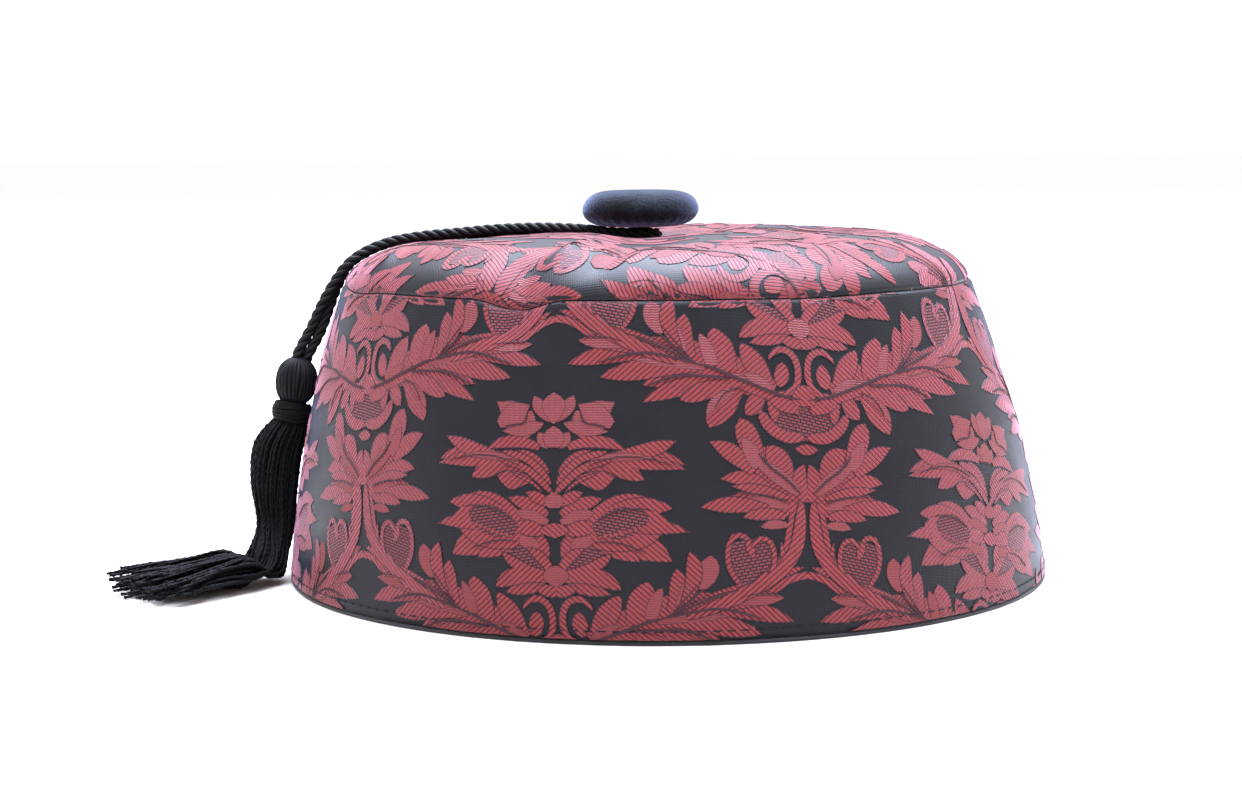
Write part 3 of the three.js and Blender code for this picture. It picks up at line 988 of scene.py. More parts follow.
FIGURE = (
    # the daisy
    Lobe((0, -2.4), (0, 2.4), 0, 2.4, 2.4, 0.0, 0.5, 0.6, SMOOTH, 3),
    Lobe((0.0, -3.4), (5.0, -2.3), -0.5, 1.0, 0.9, 0.95, 0.3, 1.0, RIB, 1),
    Lobe((1.8, -0.4), (14.2, -2.9), 3.2, 1.5, 1.3, 0.6, 0.55, 0.8, RIB, 1),
    Lobe((2.6, -1.9), (11.8, -4.0), 0.6, 1.1, 1.1, 0.6, 0.45, 1.0, RIB, 0),
    Lobe((2.0, 0.9), (11.0, 5.6), 0.4, 2.5, 2.4, 0.4, 0.55, 0.6, NET, 0),
    Lobe((1.0, 1.0), (6.6, 6.2), 1.6, 0.8, 0.8, 0.7, 0.5, 1.0, RIB, 1),
    Lobe((3.0, 0.8), (12.4, 5.2), -1.9, 0.8, 0.9, 0.6, 0.6, 1.0, RIB, 1),
    # the pair of thistle heads
    Lobe((8.0, 8.4), (24.0, 12.8), -0.6, 3.0, 3.4, 0.5, 0.55, 0.7, RIB, 0),
    Lobe((8.8, 9.8), (20.4, 13.0), 0.8, 3.2, 3.2, 0.5, 0.5, 0.6, NET, 1),
    Lobe((7.4, 12.0), (19.8, 17.4), 1.6, 1.5, 2.0, 0.5, 0.5, 1.0, RIB, 0),
    Lobe((12.0, 14.4), (25.4, 15.0), 1.6, 1.3, 1.6, 0.4, 0.5, 1.0, RIB, 0),
    Lobe((17.5, 10.6), (29.4, 9.8), 1.0, 1.3, 1.0, 0.8, 0.3, 1.4, RIB, 0),
    Lobe((12.0, 8.4), (25.0, 3.4), 1.8, 2.4, 2.2, 0.5, 0.45, 1.1, RIB, 0),
    Lobe((8.5, 7.8), (18.3, 3.3), 1.0, 1.7, 1.5, 0.5, 0.45, 1.1, RIB, 0),
    # between the heads
    Lobe((0, 15.0), (0, 18.4), 0, 1.7, 1.7, 0.6, 0.45, 0.7, SMOOTH, 1),
    Lobe((0, 8.4), (0, 11.8), 0, 2.4, 2.4, 0.0, 0.5, 1.0, RIB, 1),
    Lobe((0.8, 15.6), (6.4, 18.4), 0.4, 0.9, 0.9, 0.4, 0.5, 1.0, RIB, 1),
    Lobe((1.4, 13.6), (10.6, 17.0), 0.8, 1.1, 1.1, 0.4, 0.5, 1.0, RIB, 0),
    Lobe((1.4, 11.8), (9.0, 14.0), 0.5, 1.1, 1.1, 0.4, 0.5, 1.0, SMOOTH, 0),
    Lobe((2.2, 9.6), (9.6, 10.8), 0.8, 1.2, 1.3, 0.4, 0.5, 1.0, RIB, 0),
    Lobe((1.8, 4.0), (3.0, 9.4), -0.8, 1.1, 1.7, 0.4, 0.5, 1.0, RIB, 0),
    Lobe((3.6, 6.2), (8.8, 8.4), 0.5, 1.3, 1.3, 0.4, 0.5, 1.0, SMOOTH, 0),
    # the curled wings
    Strap(((0.2, 18.0), (2.6, 20.6), (6.4, 23.6), (12.5, 25.4)), 0.75, RIB, 1),
    Strap(((0.6, 20.2), (2.6, 22.8), (6.0, 25.6), (11.5, 27.2)), 0.75, RIB, 1),
    Lobe((1.2, 22.6), (8.4, 27.6), 1.2, 0.8, 0.8, 0.4, 0.5, 1.0, RIB, 0),
    Strap(((2.4, 18.4), (5.0, 20.6), (9.6, 22.6)), 0.4, RIB, 1),
    Lobe((8.6, 25.0), (28.5, 23.4), 2.6, 1.1, 1.5, 0.5, 0.5, 1.2, RIB, 0),
    Lobe((12.0, 26.3), (26.5, 29.8), -1.0, 1.0, 1.3, 0.3, 0.6, 1.2, RIB, 0),
    Lobe((14.0, 26.6), (28.2, 24.4), 1.4, 1.3, 0.9, 0.4, 0.5, 1.0, RIB, 0),
    Lobe((8.0, 25.2), (22.0, 25.6), 1.4, 0.7, 0.7, 0.5, 0.5, 1.0, SMOOTH, 1),
    Lobe((11.0, 24.2), (19.4, 21.0), 1.0, 1.4, 1.3, 0.5, 0.5, 1.0, RIB, 0),
    Lobe((3.2, 28.2), (16.0, 27.3), 3.4, 0.9, 1.0, 0.5, 0.5, 1.1, RIB, 0),
    Lobe((5.0, 21.4), (13.2, 21.7), 0.8, 0.7, 2.3, 0.2, 0.6, 1.1, RIB, 0),
    Strap(((7.5, 24.2), (13.0, 25.9), (19.0, 25.9), (25.5, 24.4)), 0.2, VEIN, 3),
    Lobe((7.0, 23.6), (23.0, 25.6), 1.2, 1.7, 1.7, 0.4, 0.5, 0.9, RIB, -1),
    Lobe((6.0, 9.6), (20.0, 9.6), 0.5, 3.4, 3.2, 0.5, 0.45, 0.8, RIB, -1),
    Strap(((8.6, 7.6), (13.6, 7.4), (19.4, 5.4)), 0.22, VEIN, 3),
    Strap(((9.6, 12.6), (14.6, 14.6), (20.4, 14.8)), 0.22, VEIN, 3),
    # the tulips
    Lobe((0, 33.4), (0, 40.2), 0, 2.2, 2.2, 0.1, 0.6, 1.0, SMOOTH, 1),
    Lobe((0.5, 34.0), (4.5, 39.5), -0.5, 1.0, 1.3, 0.3, 0.62, 1.1, SMOOTH, 0),
    Lobe((6.4, 33.8), (13.4, 38.0), 0, 2.2, 2.2, 0.55, 0.4, 1.5, SMOOTH, 0),
    Lobe((12.8, 33.1), (5.4, 37.5), 0, 2.1, 2.1, 0.3, 0.5, 1.4, SMOOTH, 1),
    Lobe((2.2, 33.5), (12.0, 31.6), -0.8, 1.1, 1.3, 0.1, 0.4, 1.2, SMOOTH, 1),
    Lobe((5.2, 36.2), (6.8, 29.8), -0.6, 1.4, 1.3, 0.2, 0.5, 1.0, SMOOTH, 0),
    Strap(((5.9, 36.2), (6.2, 34.4), (7.0, 33.3), (9.4, 33.1), (11.4, 32.6)), 0.24, VEIN, 3),
    Lobe((0, 28.2), (0, 32.9), 0, 2.0, 2.0, 0.5, 0.4, 0.9, SMOOTH, 1),
    Lobe((0.3, 28.6), (3.5, 31.6), -0.9, 1.2, 1.2, 0.3, 0.5, 1.2, SMOOTH, 0),
    # the scrolls and the bud between them
    Strap(
        (
            (7.8, -7.4), (6.4, -5.5), (4.0, -4.9), (1.9, -6.4),
            (1.1, -9.6), (1.7, -12.8), (3.8, -14.7), (6.6, -14.6),
        ),
        0.72,
    ),
    Lobe((5.7, -13.2), (4.7, -7.7), 0.6, 1.25, 1.25, 0.3, 0.45, 0.8, RIB, 0),
    Lobe((0, -17.2), (0, -12.5), 0, 2.1, 2.1, 0.7, 0.35, 0.9, RIB, 2),
    # the bell
    Lobe((0, -16.0), (0, -25.0), 0, 7.0, 7.0, 0.8, 0.5, 0.45, NET, 0),
    Lobe((1.4, -18.3), (8.0, -16.3), 0.4, 1.1, 1.2, 0.5, 0.5, 0.7, RIB, 1),
    Lobe((7.5, -16.4), (6.9, -21.4), -0.4, 0.9, 0.9, 0.8, 0.4, 1.0, RIB, 1),
    Strap(
        ((10.2, -18.6), (9.0, -21.0), (6.9, -23.1), (4.0, -24.3), (1.8, -24.2), (0, -24.5)),
        1.25, RIB, 1, 0.2,
    ),
    Lobe((-2.9, -26.9), (2.9, -26.9), 0, 0.85, 0.85, 0.0, 0.5, 1.0, RIB, 0),
    # the sheaf of leaves
    Lobe((-0.2, -38.2), (0.4, -30.0), -1.6, 0.7, 2.0, 0.4, 0.45, 1.0, RIB, 0),
    Lobe((4.0, -34.2), (8.9, -26.4), 0.8, 2.0, 1.7, 0.4, 0.55, 0.8, RIB, 0),
    Lobe((11.0, -31.0), (14.7, -20.5), 0.6, 1.8, 1.8, 0.7, 0.6, 0.7, RIB, 0),
    Lobe((10.6, -31.0), (14.2, -24.6), 0.3, 1.3, 1.5, 0.7, 0.4, 1.0, SMOOTH, 1),
    Lobe((12.0, -32.2), (21.3, -25.8), 1.8, 1.3, 1.5, 0.4, 0.5, 1.1, RIB, 0),
    Lobe((8.5, -35.6), (19.0, -34.0), 2.0, 1.3, 1.1, 0.4, 0.5, 1.1, RIB, 0),
    Lobe((2.0, -36.4), (12.0, -29.4), 0.9, 1.2, 1.5, 0.5, 0.45, 0.9, SMOOTH, 1),
    Strap(((1.5, -36.6), (4.6, -33.6), (8.2, -31.0), (10.8, -28.0)), 0.32, VEIN, 3),
    Lobe((4.2, -37.6), (17.0, -35.4), 0.9, 0.8, 0.8, 0.4, 0.5, 1.0, RIB, 0),
    Lobe((4.5, -39.6), (14.5, -38.4), 0.8, 0.9, 1.0, 0.5, 0.5, 1.0, SMOOTH, 0),
    Lobe((8.5, -40.0), (23.5, -40.2), 2.0, 1.0, 1.5, 0.4, 0.55, 1.1, RIB, 0),
    Lobe((5.0, -41.6), (14.5, -42.2), 1.4, 0.9, 1.0, 0.5, 0.5, 1.0, RIB, 0),
    Lobe((4.6, -43.6), (10.6, -44.2), 0.8, 0.8, 0.8, 0.5, 0.5, 1.0, SMOOTH, 0),
    Strap(((4.0, -38.6), (9.0, -37.2), (16.0, -36.9)), 0.2, VEIN, 3),
    Lobe((0.8, -38.6), (13.4, -25.8), 0.6, 2.5, 3.0, 0.5, 0.45, 0.9, RIB, -1),
    Lobe((2.4, -40.0), (17.0, -37.6), 0.6, 1.7, 2.2, 0.5, 0.45, 0.9, RIB, -1),
    # the stems that part below it
    Strap(
        ((1.4, -38.5), (1.7, -43.5), (2.7, -48.6), (5.6, -53.0), (10, -56.4), (17, -60.2), (26.5, -64.2)),
        1.45,
    ),
    Strap(((0, -54.4), (3.5, -55.2), (8, -58.0), (14, -61.0), (21, -63.6)), 0.75, RIB, 0, 1.0),
    Strap(
        ((3.4, -40.8), (4.2, -45.0), (5.2, -49.6), (8.0, -53.6), (12.5, -57.2), (19, -61.2)),
        0.7, RIB, 0, 0.8,
    ),
    # the pomegranate on its stem
    Lobe((11.8, -56.8), (13.2, -46.6), -0.4, 4.7, 4.7, 0.4, 0.62, 0.45, NET, 0),
    Strap(
        ((10.6, -57.2), (8.3, -54.2), (7.5, -50.4), (8.6, -47.2), (10.8, -46.6), (12.4, -48.6)),
        0.55, RIB, 1, 0.6,
    ),
    Strap(
        ((12.4, -48.6), (13.8, -46.4), (16.2, -46.2), (17.6, -49.2), (17.2, -53.4), (14.4, -57.8)),
        0.6, RIB, 1, 0.6,
    ),
    Lobe((12.2, -50.8), (13.6, -46.8), 0.2, 0.7, 0.7, 0.4, 0.5, 1.0, RIB, 1),
    Lobe((5.7, -53.0), (6.2, -46.8), 0.6, 0.4, 0.45, 0.6, 0.5, 1.0, RIB, 1),
    Strap(((9.4, -53.8), (11.4, -56.8), (14.8, -59.0), (20, -61.2), (26.0, -63.8)), 1.0),
    # the acanthus spray: lobes above its main vein
    Lobe((8.0, -13.2), (13.9, -4.0), -0.6, 2.0, 1.5, 0.5, 0.5, 0.9, RIB, 0),
    Lobe((7.4, -13.8), (13.6, -10.6), 0.2, 0.9, 0.9, 0.6, 0.5, 1.0, SMOOTH, 1),
    Lobe((16.6, -10.4), (19.9, -0.9), -0.6, 2.3, 2.0, 0.6, 0.5, 0.85, RIB, 0),
    Lobe((20.4, -9.4), (22.9, -2.2), 0.4, 1.4, 1.0, 0.8, 0.4, 0.9, SMOOTH, 0),
    Lobe((24.4, -7.6), (25.9, 2.0), -1.6, 1.2, 1.5, 0.5, 0.6, 0.8, RIB, 0),
    Lobe((26.0, -6.6), (29.8, 0.8), 0.3, 1.0, 0.9, 0.4, 0.6, 0.8, SMOOTH, 0),
    Lobe((27.0, -5.4), (28.7, 5.9), -3.0, 1.1, 1.4, 0.3, 0.6, 0.8, RIB, 1),
    Lobe((30.8, -2.4), (33.2, 5.0), -1.2, 1.8, 1.8, 0.3, 0.55, 0.7, SMOOTH, 0),
    Strap(((30.9, -0.8), (28.4, -3.8), (25.0, -7.6)), 0.2, VEIN, 3),
    Strap(((26.5, -7.8), (33.5, -4.4), (40, -2.0), (46.5, 0.6), (53.6, 2.8)), 1.0, RIB, 0, 0.15),
    Lobe((7.0, -14.6), (41.0, -5.4), 3.0, 3.3, 3.0, 0.55, 0.5, 0.8, RIB, -1),
    # lobes beyond its end
    Lobe((27.5, -7.6), (49.3, -4.1), 1.8, 1.7, 1.3, 0.4, 0.6, 1.0, RIB, 0),
    Lobe((38.0, -5.4), (48.8, -4.3), 0.4, 0.8, 0.9, 0.3, 0.6, 1.0, SMOOTH, 1),
    Lobe((29.0, -7.0), (51.6, -9.2), 2.4, 1.5, 1.4, 0.4, 0.6, 1.0, RIB, 0),
    Strap(((39.6, -4.1), (43.4, -3.2), (47.6, -3.2)), 0.18, VEIN, 3),
    # lobes under its main vein
    Lobe((23.0, -9.6), (44.4, -12.1), 2.2, 1.3, 1.9, 0.4, 0.6, 1.0, RIB, 0),
    Lobe((22.0, -9.8), (37.0, -8.4), 1.0, 0.9, 0.9, 0.5, 0.5, 1.0, SMOOTH, 1),
    Lobe((18.0, -11.0), (35.5, -13.8), 2.0, 1.3, 1.6, 0.4, 0.6, 1.0, RIB, 0),
    Lobe((17.0, -12.4), (35.5, -17.6), 2.6, 1.2, 1.5, 0.4, 0.55, 1.0, RIB, 0),
    Lobe((15.5, -13.2), (27.3, -17.0), 1.6, 1.2, 1.6, 0.4, 0.6, 0.7, RIB, 0),
    Lobe((14.5, -14.2), (21.2, -22.9), 2.2, 1.6, 2.4, 0.4, 0.5, 0.8, RIB, 0),
    Lobe((15.6, -14.6), (21.8, -20.4), 1.8, 0.9, 0.8, 0.5, 0.5, 0.9, SMOOTH, 1),
    Lobe((10.0, -14.9), (13.4, -19.8), -0.4, 1.2, 1.5, 0.6, 0.5, 1.0, RIB, 0),
    Strap(((2.4, -16.2), (7.0, -15.5), (12, -13.9), (18, -12.1)), 1.0, RIB, 0),
    Strap(((6.6, -14.3), (11, -12.7), (16.5, -10.8)), 0.6, SMOOTH, 0),
    # veins
    Strap(
        ((1.0, -15.9), (6.2, -14.9), (11.8, -12.9), (16.2, -11.3), (20.2, -9.7), (23.4, -8.9)),
        0.42, VEIN, 3,
    ),
    Strap(((23.0, -9.0), (30.2, -7.3), (34.2, -6.7), (38.2, -7.1), (44.6, -8.8)), 0.34, VEIN, 3),
    Strap(((16.4, -12.1), (20.2, -11.7), (26.2, -11.5), (30.2, -12.3), (34.4, -14.0)), 0.32, VEIN, 3),
    Strap(((23.4, -8.9), (26.4, -7.0), (31.6, -2.4)), 0.32, VEIN, 3),
    Strap(((24.6, -8.6), (30.0, -5.9), (36.8, -3.0)), 0.3, VEIN, 3),
    Strap(((13.5, -13.6), (17.5, -15.0), (20.0, -18.4)), 0.18, VEIN, 3),
)


@dataclass
class Figure:
    """The damask figure, laid out flat in fabric millimetres and fitted to a shape of cloth.

    Each lobe stands above the cloth by the edge's lift, its layer's and that of its turn among the steps,
    and its wall goes down to the sunk depth. Swell widens every woven lobe, those under the full width less,
    and crisp is its edge's angle in degrees. Reach is how far the figure goes from the middle of its daisy.
    """

    column_step: float = 54.5
    drop: float = 55.5
    edge_lift: float = 0.09
    spine_lift: float = 0.016
    layer_lift: float = 0.06
    step_lift: float = 0.016
    steps: int = 4
    sunk: float = -0.08
    swell: float = 0.24
    full_width: float = 1.6
    wall: float = 0.07
    crisp: float = 32.0
    reach: float = 66.0

    def half(self, mirrored: bool) -> tuple[np.ndarray, ...]:
        """One side of the figure.

        Args:
            mirrored: whether it is the left side, which leaves out what lies on the axis.

        Returns:
            Places, lifts, charts, distances from the edge, quads and weaves.
        """
        places, lifts, edges, quads, weaves = [], [], [], [], []
        count = 0
        for order, part in enumerate(FIGURE):
            if mirrored and part.on_axis():
                continue
            line, left, right = part.ladder()
            ahead = np.gradient(line, axis=0)
            ahead /= np.maximum(np.linalg.norm(ahead, axis=1, keepdims=True), 1e-9)
            side = np.stack([-ahead[:, 1], ahead[:, 0]], 1)
            if part.weave in (Weave.RIB, Weave.SMOOTH):
                grown = self.swell * np.clip((left + right) / self.full_width, 0, 1)
                left, right = left + grown, right + grown
            offsets = [left, left - self.wall, (left - right) / 2, self.wall - right, -right]
            middle = (left + right) / 2
            height = self.edge_lift + part.layer * self.layer_lift + (order % self.steps) * self.step_lift
            lift = [np.full(len(line), self.sunk), np.full(len(line), height)]
            lift += [height + self.spine_lift * np.minimum(middle, 1.0), lift[1], lift[0]]
            edge = [0 * middle, 0 * middle + self.wall, middle, 0 * middle + self.wall, 0 * middle]
            k = len(line)
            for offset, raised, distance in zip(offsets, lift, edge):
                places.append(line + side * offset[:, None])
                lifts.append(raised)
                edges.append(distance)
            for strip in range(4):
                a = count + strip * k + np.arange(k - 1)
                quads.append(np.stack([a, a + k, a + k + 1, a + 1], 1))
                weaves.append(np.full(k - 1, part.weave.value))
            count += 5 * k
        flat = chart = np.vstack(places)
        quad = np.vstack(quads)
        if mirrored:
            flat = flat * (-1, 1)
            quad = quad[:, ::-1]
        return flat, np.concatenate(lifts), chart, np.concatenate(edges), quad, np.concatenate(weaves)

    @staticmethod
    def eased(places: np.ndarray) -> np.ndarray:
        """Places after the cloth was eased upward and inward towards both sides of the cap.

        Args:
            places: places on the flat fabric.

        Returns:
            The moved places.
        """
        # Fitted to where the photograph's leaves lie towards the cap's left and right sides.
        left = np.clip((-15.0 - places[:, 0]) / 55.0, 0.0, 1.7)
        right = soft_step(places[:, 0] - 39.0, 0.0, 62.0)
        raised = 4.8 * soft_step(left, 0.0, 1.15) + 1.9 * right
        return places + np.stack([2.3 * left**2 - 0.6 * right, raised], 1)

    def laid(self, low: tuple, high: tuple, start: tuple) -> tuple:
        """The figure repeated over a stretch of fabric.

        Args:
            low: the stretch's lowest corner.
            high: its highest corner.
            start: the middle of one daisy.

        Returns:
            Places, lifts, charts, distances from the edge, quads and weaves.
        """
        sides = [self.half(False), self.half(True)]
        found = [[] for _ in range(6)]
        count = 0
        first = math.floor((low[0] - self.reach - start[0]) / self.column_step)
        last = math.ceil((high[0] + self.reach - start[0]) / self.column_step)
        for column in range(first, last + 1):
            x = start[0] + column * self.column_step
            shift = start[1] + (column % 2) * self.drop
            for row in range(-6, 7):
                y = shift + row * 2 * self.drop
                if y + self.reach < low[1] or y - self.reach > high[1]:
                    continue
                for places, lifts, charts, edges, quads, weaves in sides:
                    found[0].append(places + (x, y))
                    found[1].append(lifts)
                    found[2].append(charts)
                    found[3].append(edges)
                    found[4].append(quads + count)
                    found[5].append(weaves)
                    count += len(places)
        return tuple(np.concatenate(part) for part in found)

    @staticmethod
    def kept(quads: np.ndarray, weaves: np.ndarray, outside: list, *stores: np.ndarray) -> tuple:
        """Leaves out the quads that lie wholly beyond a limit, and the places that nothing uses.

        Args:
            quads: the quads.
            weaves: their weaves.
            outside: for each limit, whether each place is beyond it.
            stores: what is kept for each place.

        Returns:
            The quads left, their weaves and the shortened stores.
        """
        gone = np.zeros(len(quads), bool)
        for beyond in outside:
            gone |= beyond[quads].all(1)
        quads, weaves = quads[~gone], weaves[~gone]
        used, fresh = np.unique(quads, return_inverse=True)
        return fresh.reshape(quads.shape), weaves, *(store[used] for store in stores)


# The cloth pieces


class Seam:
    """How cloth turns in at a seam."""

    depth = 0.75
    width = 1.1

    @classmethod
    def sink(cls, distance: np.ndarray) -> np.ndarray:
        """How far the cloth's outside lies under its place, at a distance from the seam."""
        near = np.clip(1 - distance / cls.width, 0.0, 1.0)
        return -cls.depth * near**2


@dataclass
class SideBand:
    """The flared band: a wall of brocade over lining, its woven figure and the stitches above the edge."""

    form: CapForm
    materials: dict
    columns: int = 288
    rows: int = 40
    slant: float = 75.49
    fan_radius: float = 430.35
    fan_sine: float = 0.2208
    grain_azimuth: float = -93.0
    daisy: tuple = (-14.8, 15.2)
    stitch_height: float = 3.1
    stitch_length: float = 2.5
    stitch_gap: float = 0.6
    stitch_radius: float = 0.17

    def chart_at(self, azimuth: np.ndarray, share: np.ndarray) -> np.ndarray:
        """The fabric place that was cut to lie at an azimuth and share of height.

        Args:
            azimuth: radians, counter-clockwise from +X.
            share: share of the height from the table to the seam.

        Returns:
            Places on the flat fabric.
        """
        fan = (azimuth - math.radians(self.grain_azimuth)) * self.fan_sine
        radius = self.fan_radius - share * self.slant
        return np.stack([radius * np.sin(fan), self.fan_radius - radius * np.cos(fan)], -1)

    def sunk(self, share: np.ndarray) -> np.ndarray:
        """How far the cloth turns in beside the seam."""
        return Seam.sink((1 - share) * self.form.band_height)

    def wall(self) -> Patch:
        """The wall: outside, top edge, lining and foot, closed.

        Returns:
            The closed wall.
        """
        form = self.form
        foot = (form.binding_shown + form.seam_gap) / form.band_height
        top = 1 - form.seam_gap / form.band_height
        outside = np.concatenate([np.linspace(foot, 0.955, self.rows - 5), np.linspace(0.965, top, 5)])
        inside = np.linspace(top, foot, 12)
        # The chart starts and ends at the back seam, so the first column is repeated there.
        turn = np.linspace(0, 2 * math.pi, self.columns + 1) + math.radians(self.grain_azimuth) - math.pi
        rings = []
        charts = []
        for share in outside:
            shares = np.full_like(turn, share)
            rings.append(form.band(turn, shares, self.sunk(shares)))
            charts.append(self.chart_at(turn, shares))
        for i, share in enumerate(inside):
            shares = np.full_like(turn, share)
            depth = -form.band_thickness + (0.35 if i in (0, 11) else 0.0)
            rings.append(form.band(turn, shares, np.full_like(turn, depth)))
            charts.append(self.chart_at(turn, shares))
        columns = self.columns + 1
        count = len(rings)
        faces = grid_faces(columns, count, False)
        last = (count - 1) * columns
        faces += [(last + i, last + i + 1, i + 1, i) for i in range(columns - 1)]
        slots = [0 if i < (len(outside) - 1) * (columns - 1) else 1 for i in range(len(faces))]
        return Patch(np.vstack(rings), faces, np.vstack(charts), slots=slots)

    def figure(self, figure: Figure) -> Patch:
        """The woven figure, cut at the foot, the seam and the back seam.

        Args:
            figure: the woven figure.

        Returns:
            The raised figure.
        """
        form = self.form
        half_fan = math.pi * self.fan_sine
        wide = self.fan_radius * math.sin(half_fan)
        places, lifts, charts, edges, quads, weaves = figure.laid((-wide, -8), (wide, 205), self.daisy)
        places = figure.eased(places)
        fan = np.arctan2(places[:, 0], self.fan_radius - places[:, 1])
        share = (self.fan_radius - np.hypot(places[:, 0], self.fan_radius - places[:, 1])) / self.slant
        foot = (form.binding_shown + form.seam_gap + 0.05) / form.band_height
        top = 1 - (form.seam_gap + 0.05) / form.band_height
        outside = [share < foot, share > top, fan < -half_fan, fan > half_fan]
        quads, weaves, share, fan, lifts, charts, edges = Figure.kept(
            quads, weaves, outside, share, fan, lifts, charts, edges
        )
        share = np.clip(share, foot, top)
        azimuth = np.clip(fan, -half_fan, half_fan) / self.fan_sine + math.radians(self.grain_azimuth)
        lifts = lifts + self.sunk(share)
        laid = form.band(azimuth, share, lifts)
        return Patch(laid, [tuple(q) for q in quads.tolist()], charts, edges, weaves.tolist(), figure.crisp)

    def stitches(self) -> Patch:
        """The row of stitches above the bound edge.

        Returns:
            The stitches.
        """
        form = self.form
        share = self.stitch_height / form.band_height
        radius = float(form.band_radius(np.array(share)))
        count = int(2 * math.pi * radius / (self.stitch_length + self.stitch_gap))
        made = []
        for i in range(count):
            middle = 2 * math.pi * i / count
            reach = self.stitch_length / 2 / radius
            s = np.linspace(-1, 1, 7)
            azimuth = middle + s * reach
            lift = 0.3 * (1 - np.abs(s) ** 3) - 0.1
            line = form.band(azimuth, np.full(7, share), lift)
            made.append(thread(line, self.stitch_radius * np.sqrt(np.maximum(1 - np.abs(s) ** 4, 0.08)), 6))
        return gathered(made)

    def make(self, figure: Figure) -> list:
        """Builds the band's pieces.

        Args:
            figure: the woven figure.

        Returns:
            The pieces.
        """
        cloth = self.wall().build("side_band_cloth", [self.materials["ground"], self.materials["lining"]])
        weave = self.figure(figure).build("side_band_figure", self.materials["figure"])
        stitching = self.stitches().build("edge_stitching", [self.materials["thread"]])
        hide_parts("side_band")
        return [cloth, weave, stitching]


@dataclass
class CrownTip:
    """The soft domed top, cut as one round of the same brocade."""

    form: CapForm
    materials: dict
    columns: int = 256
    rows: int = 64
    grain: float = 154.0
    daisy: tuple = (0.0, 7.5)
    swell: float = 0.62

    def shell(self) -> Patch:
        """The crown: outside, turned rim and lining, closed.

        Returns:
            The closed shell.
        """
        form = self.form
        end = form.crown_reach()
        turn = np.linspace(0, 2 * math.pi, self.columns, endpoint=False)
        dome = np.linspace(1.2, end - 2, self.rows - 6)
        outside = np.concatenate([dome, np.linspace(end - 1.5, end - 0.05, 6)])
        inside = np.linspace(end, 4.0, 16)
        rings = []
        charts = []
        for reach in outside:
            reaches = np.full_like(turn, reach)
            rings.append(form.crown(reaches, turn, Seam.sink(end - reaches)))
            charts.append(np.stack([reach * np.cos(turn), reach * np.sin(turn)], 1))
        for reach in inside:
            reaches = np.full_like(turn, reach)
            depth = -form.crown_thickness if reach < end else -form.band_thickness
            rings.append(form.crown(reaches, turn, np.full_like(turn, depth)))
            charts.append(np.stack([reach * np.cos(turn), reach * np.sin(turn)], 1))
        count = len(rings)
        faces = grid_faces(self.columns, count, True, turned=True)
        places = np.vstack(rings)
        charts = np.vstack(charts)
        top = form.crown(np.array([0.0]), np.array([0.0]), np.array([0.0]))
        under = form.crown(np.array([0.0]), np.array([0.0]), np.array([-form.crown_thickness]))
        places = np.vstack([places, top, under])
        charts = np.vstack([charts, [[0, 0]], [[0, 0]]])
        n = count * self.columns
        last = (count - 1) * self.columns
        slots = [0 if i < (len(outside) - 1) * self.columns else 1 for i in range(len(faces))]
        for i in range(self.columns):
            j = (i + 1) % self.columns
            faces.append((n, i, j))
            slots.append(0)
            faces.append((n + 1, last + j, last + i))
            slots.append(1)
        return Patch(places, faces, charts, slots=slots)

    def figure(self, figure: Figure) -> Patch:
        """The woven figure, cut to the crown's round.

        Args:
            figure: the woven figure.

        Returns:
            The raised figure.
        """
        form = self.form
        end = form.crown_reach()
        places, lifts, charts, edges, quads, weaves = figure.laid((-end, -end), (end, end), self.daisy)
        turn = math.radians(self.grain)
        places = places @ np.array([[math.cos(turn), math.sin(turn)], [-math.sin(turn), math.cos(turn)]])
        reach = np.hypot(places[:, 0], places[:, 1])
        azimuth = np.arctan2(places[:, 1], places[:, 0])
        limit = end - 0.15
        quads, weaves, reach, azimuth, lifts, charts, edges = Figure.kept(
            quads, weaves, [reach > limit], reach, azimuth, lifts, charts, edges
        )
        reach = np.minimum(reach, limit)
        laid = form.crown(reach, azimuth, lifts + Seam.sink(end - reach))
        return Patch(laid, [tuple(q) for q in quads.tolist()], charts, edges, weaves.tolist(), figure.crisp)

    def make(self, figure: Figure) -> list:
        """Builds the crown's pieces.

        Args:
            figure: the woven figure.

        Returns:
            The pieces.
        """
        cloth = self.shell().build("crown_cloth", [self.materials["ground"], self.materials["lining"]])
        fuller = replace(figure, swell=self.swell)
        weave = self.figure(fuller).build("crown_figure", self.materials["figure"])
        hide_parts("crown_tip")
        return [cloth, weave]


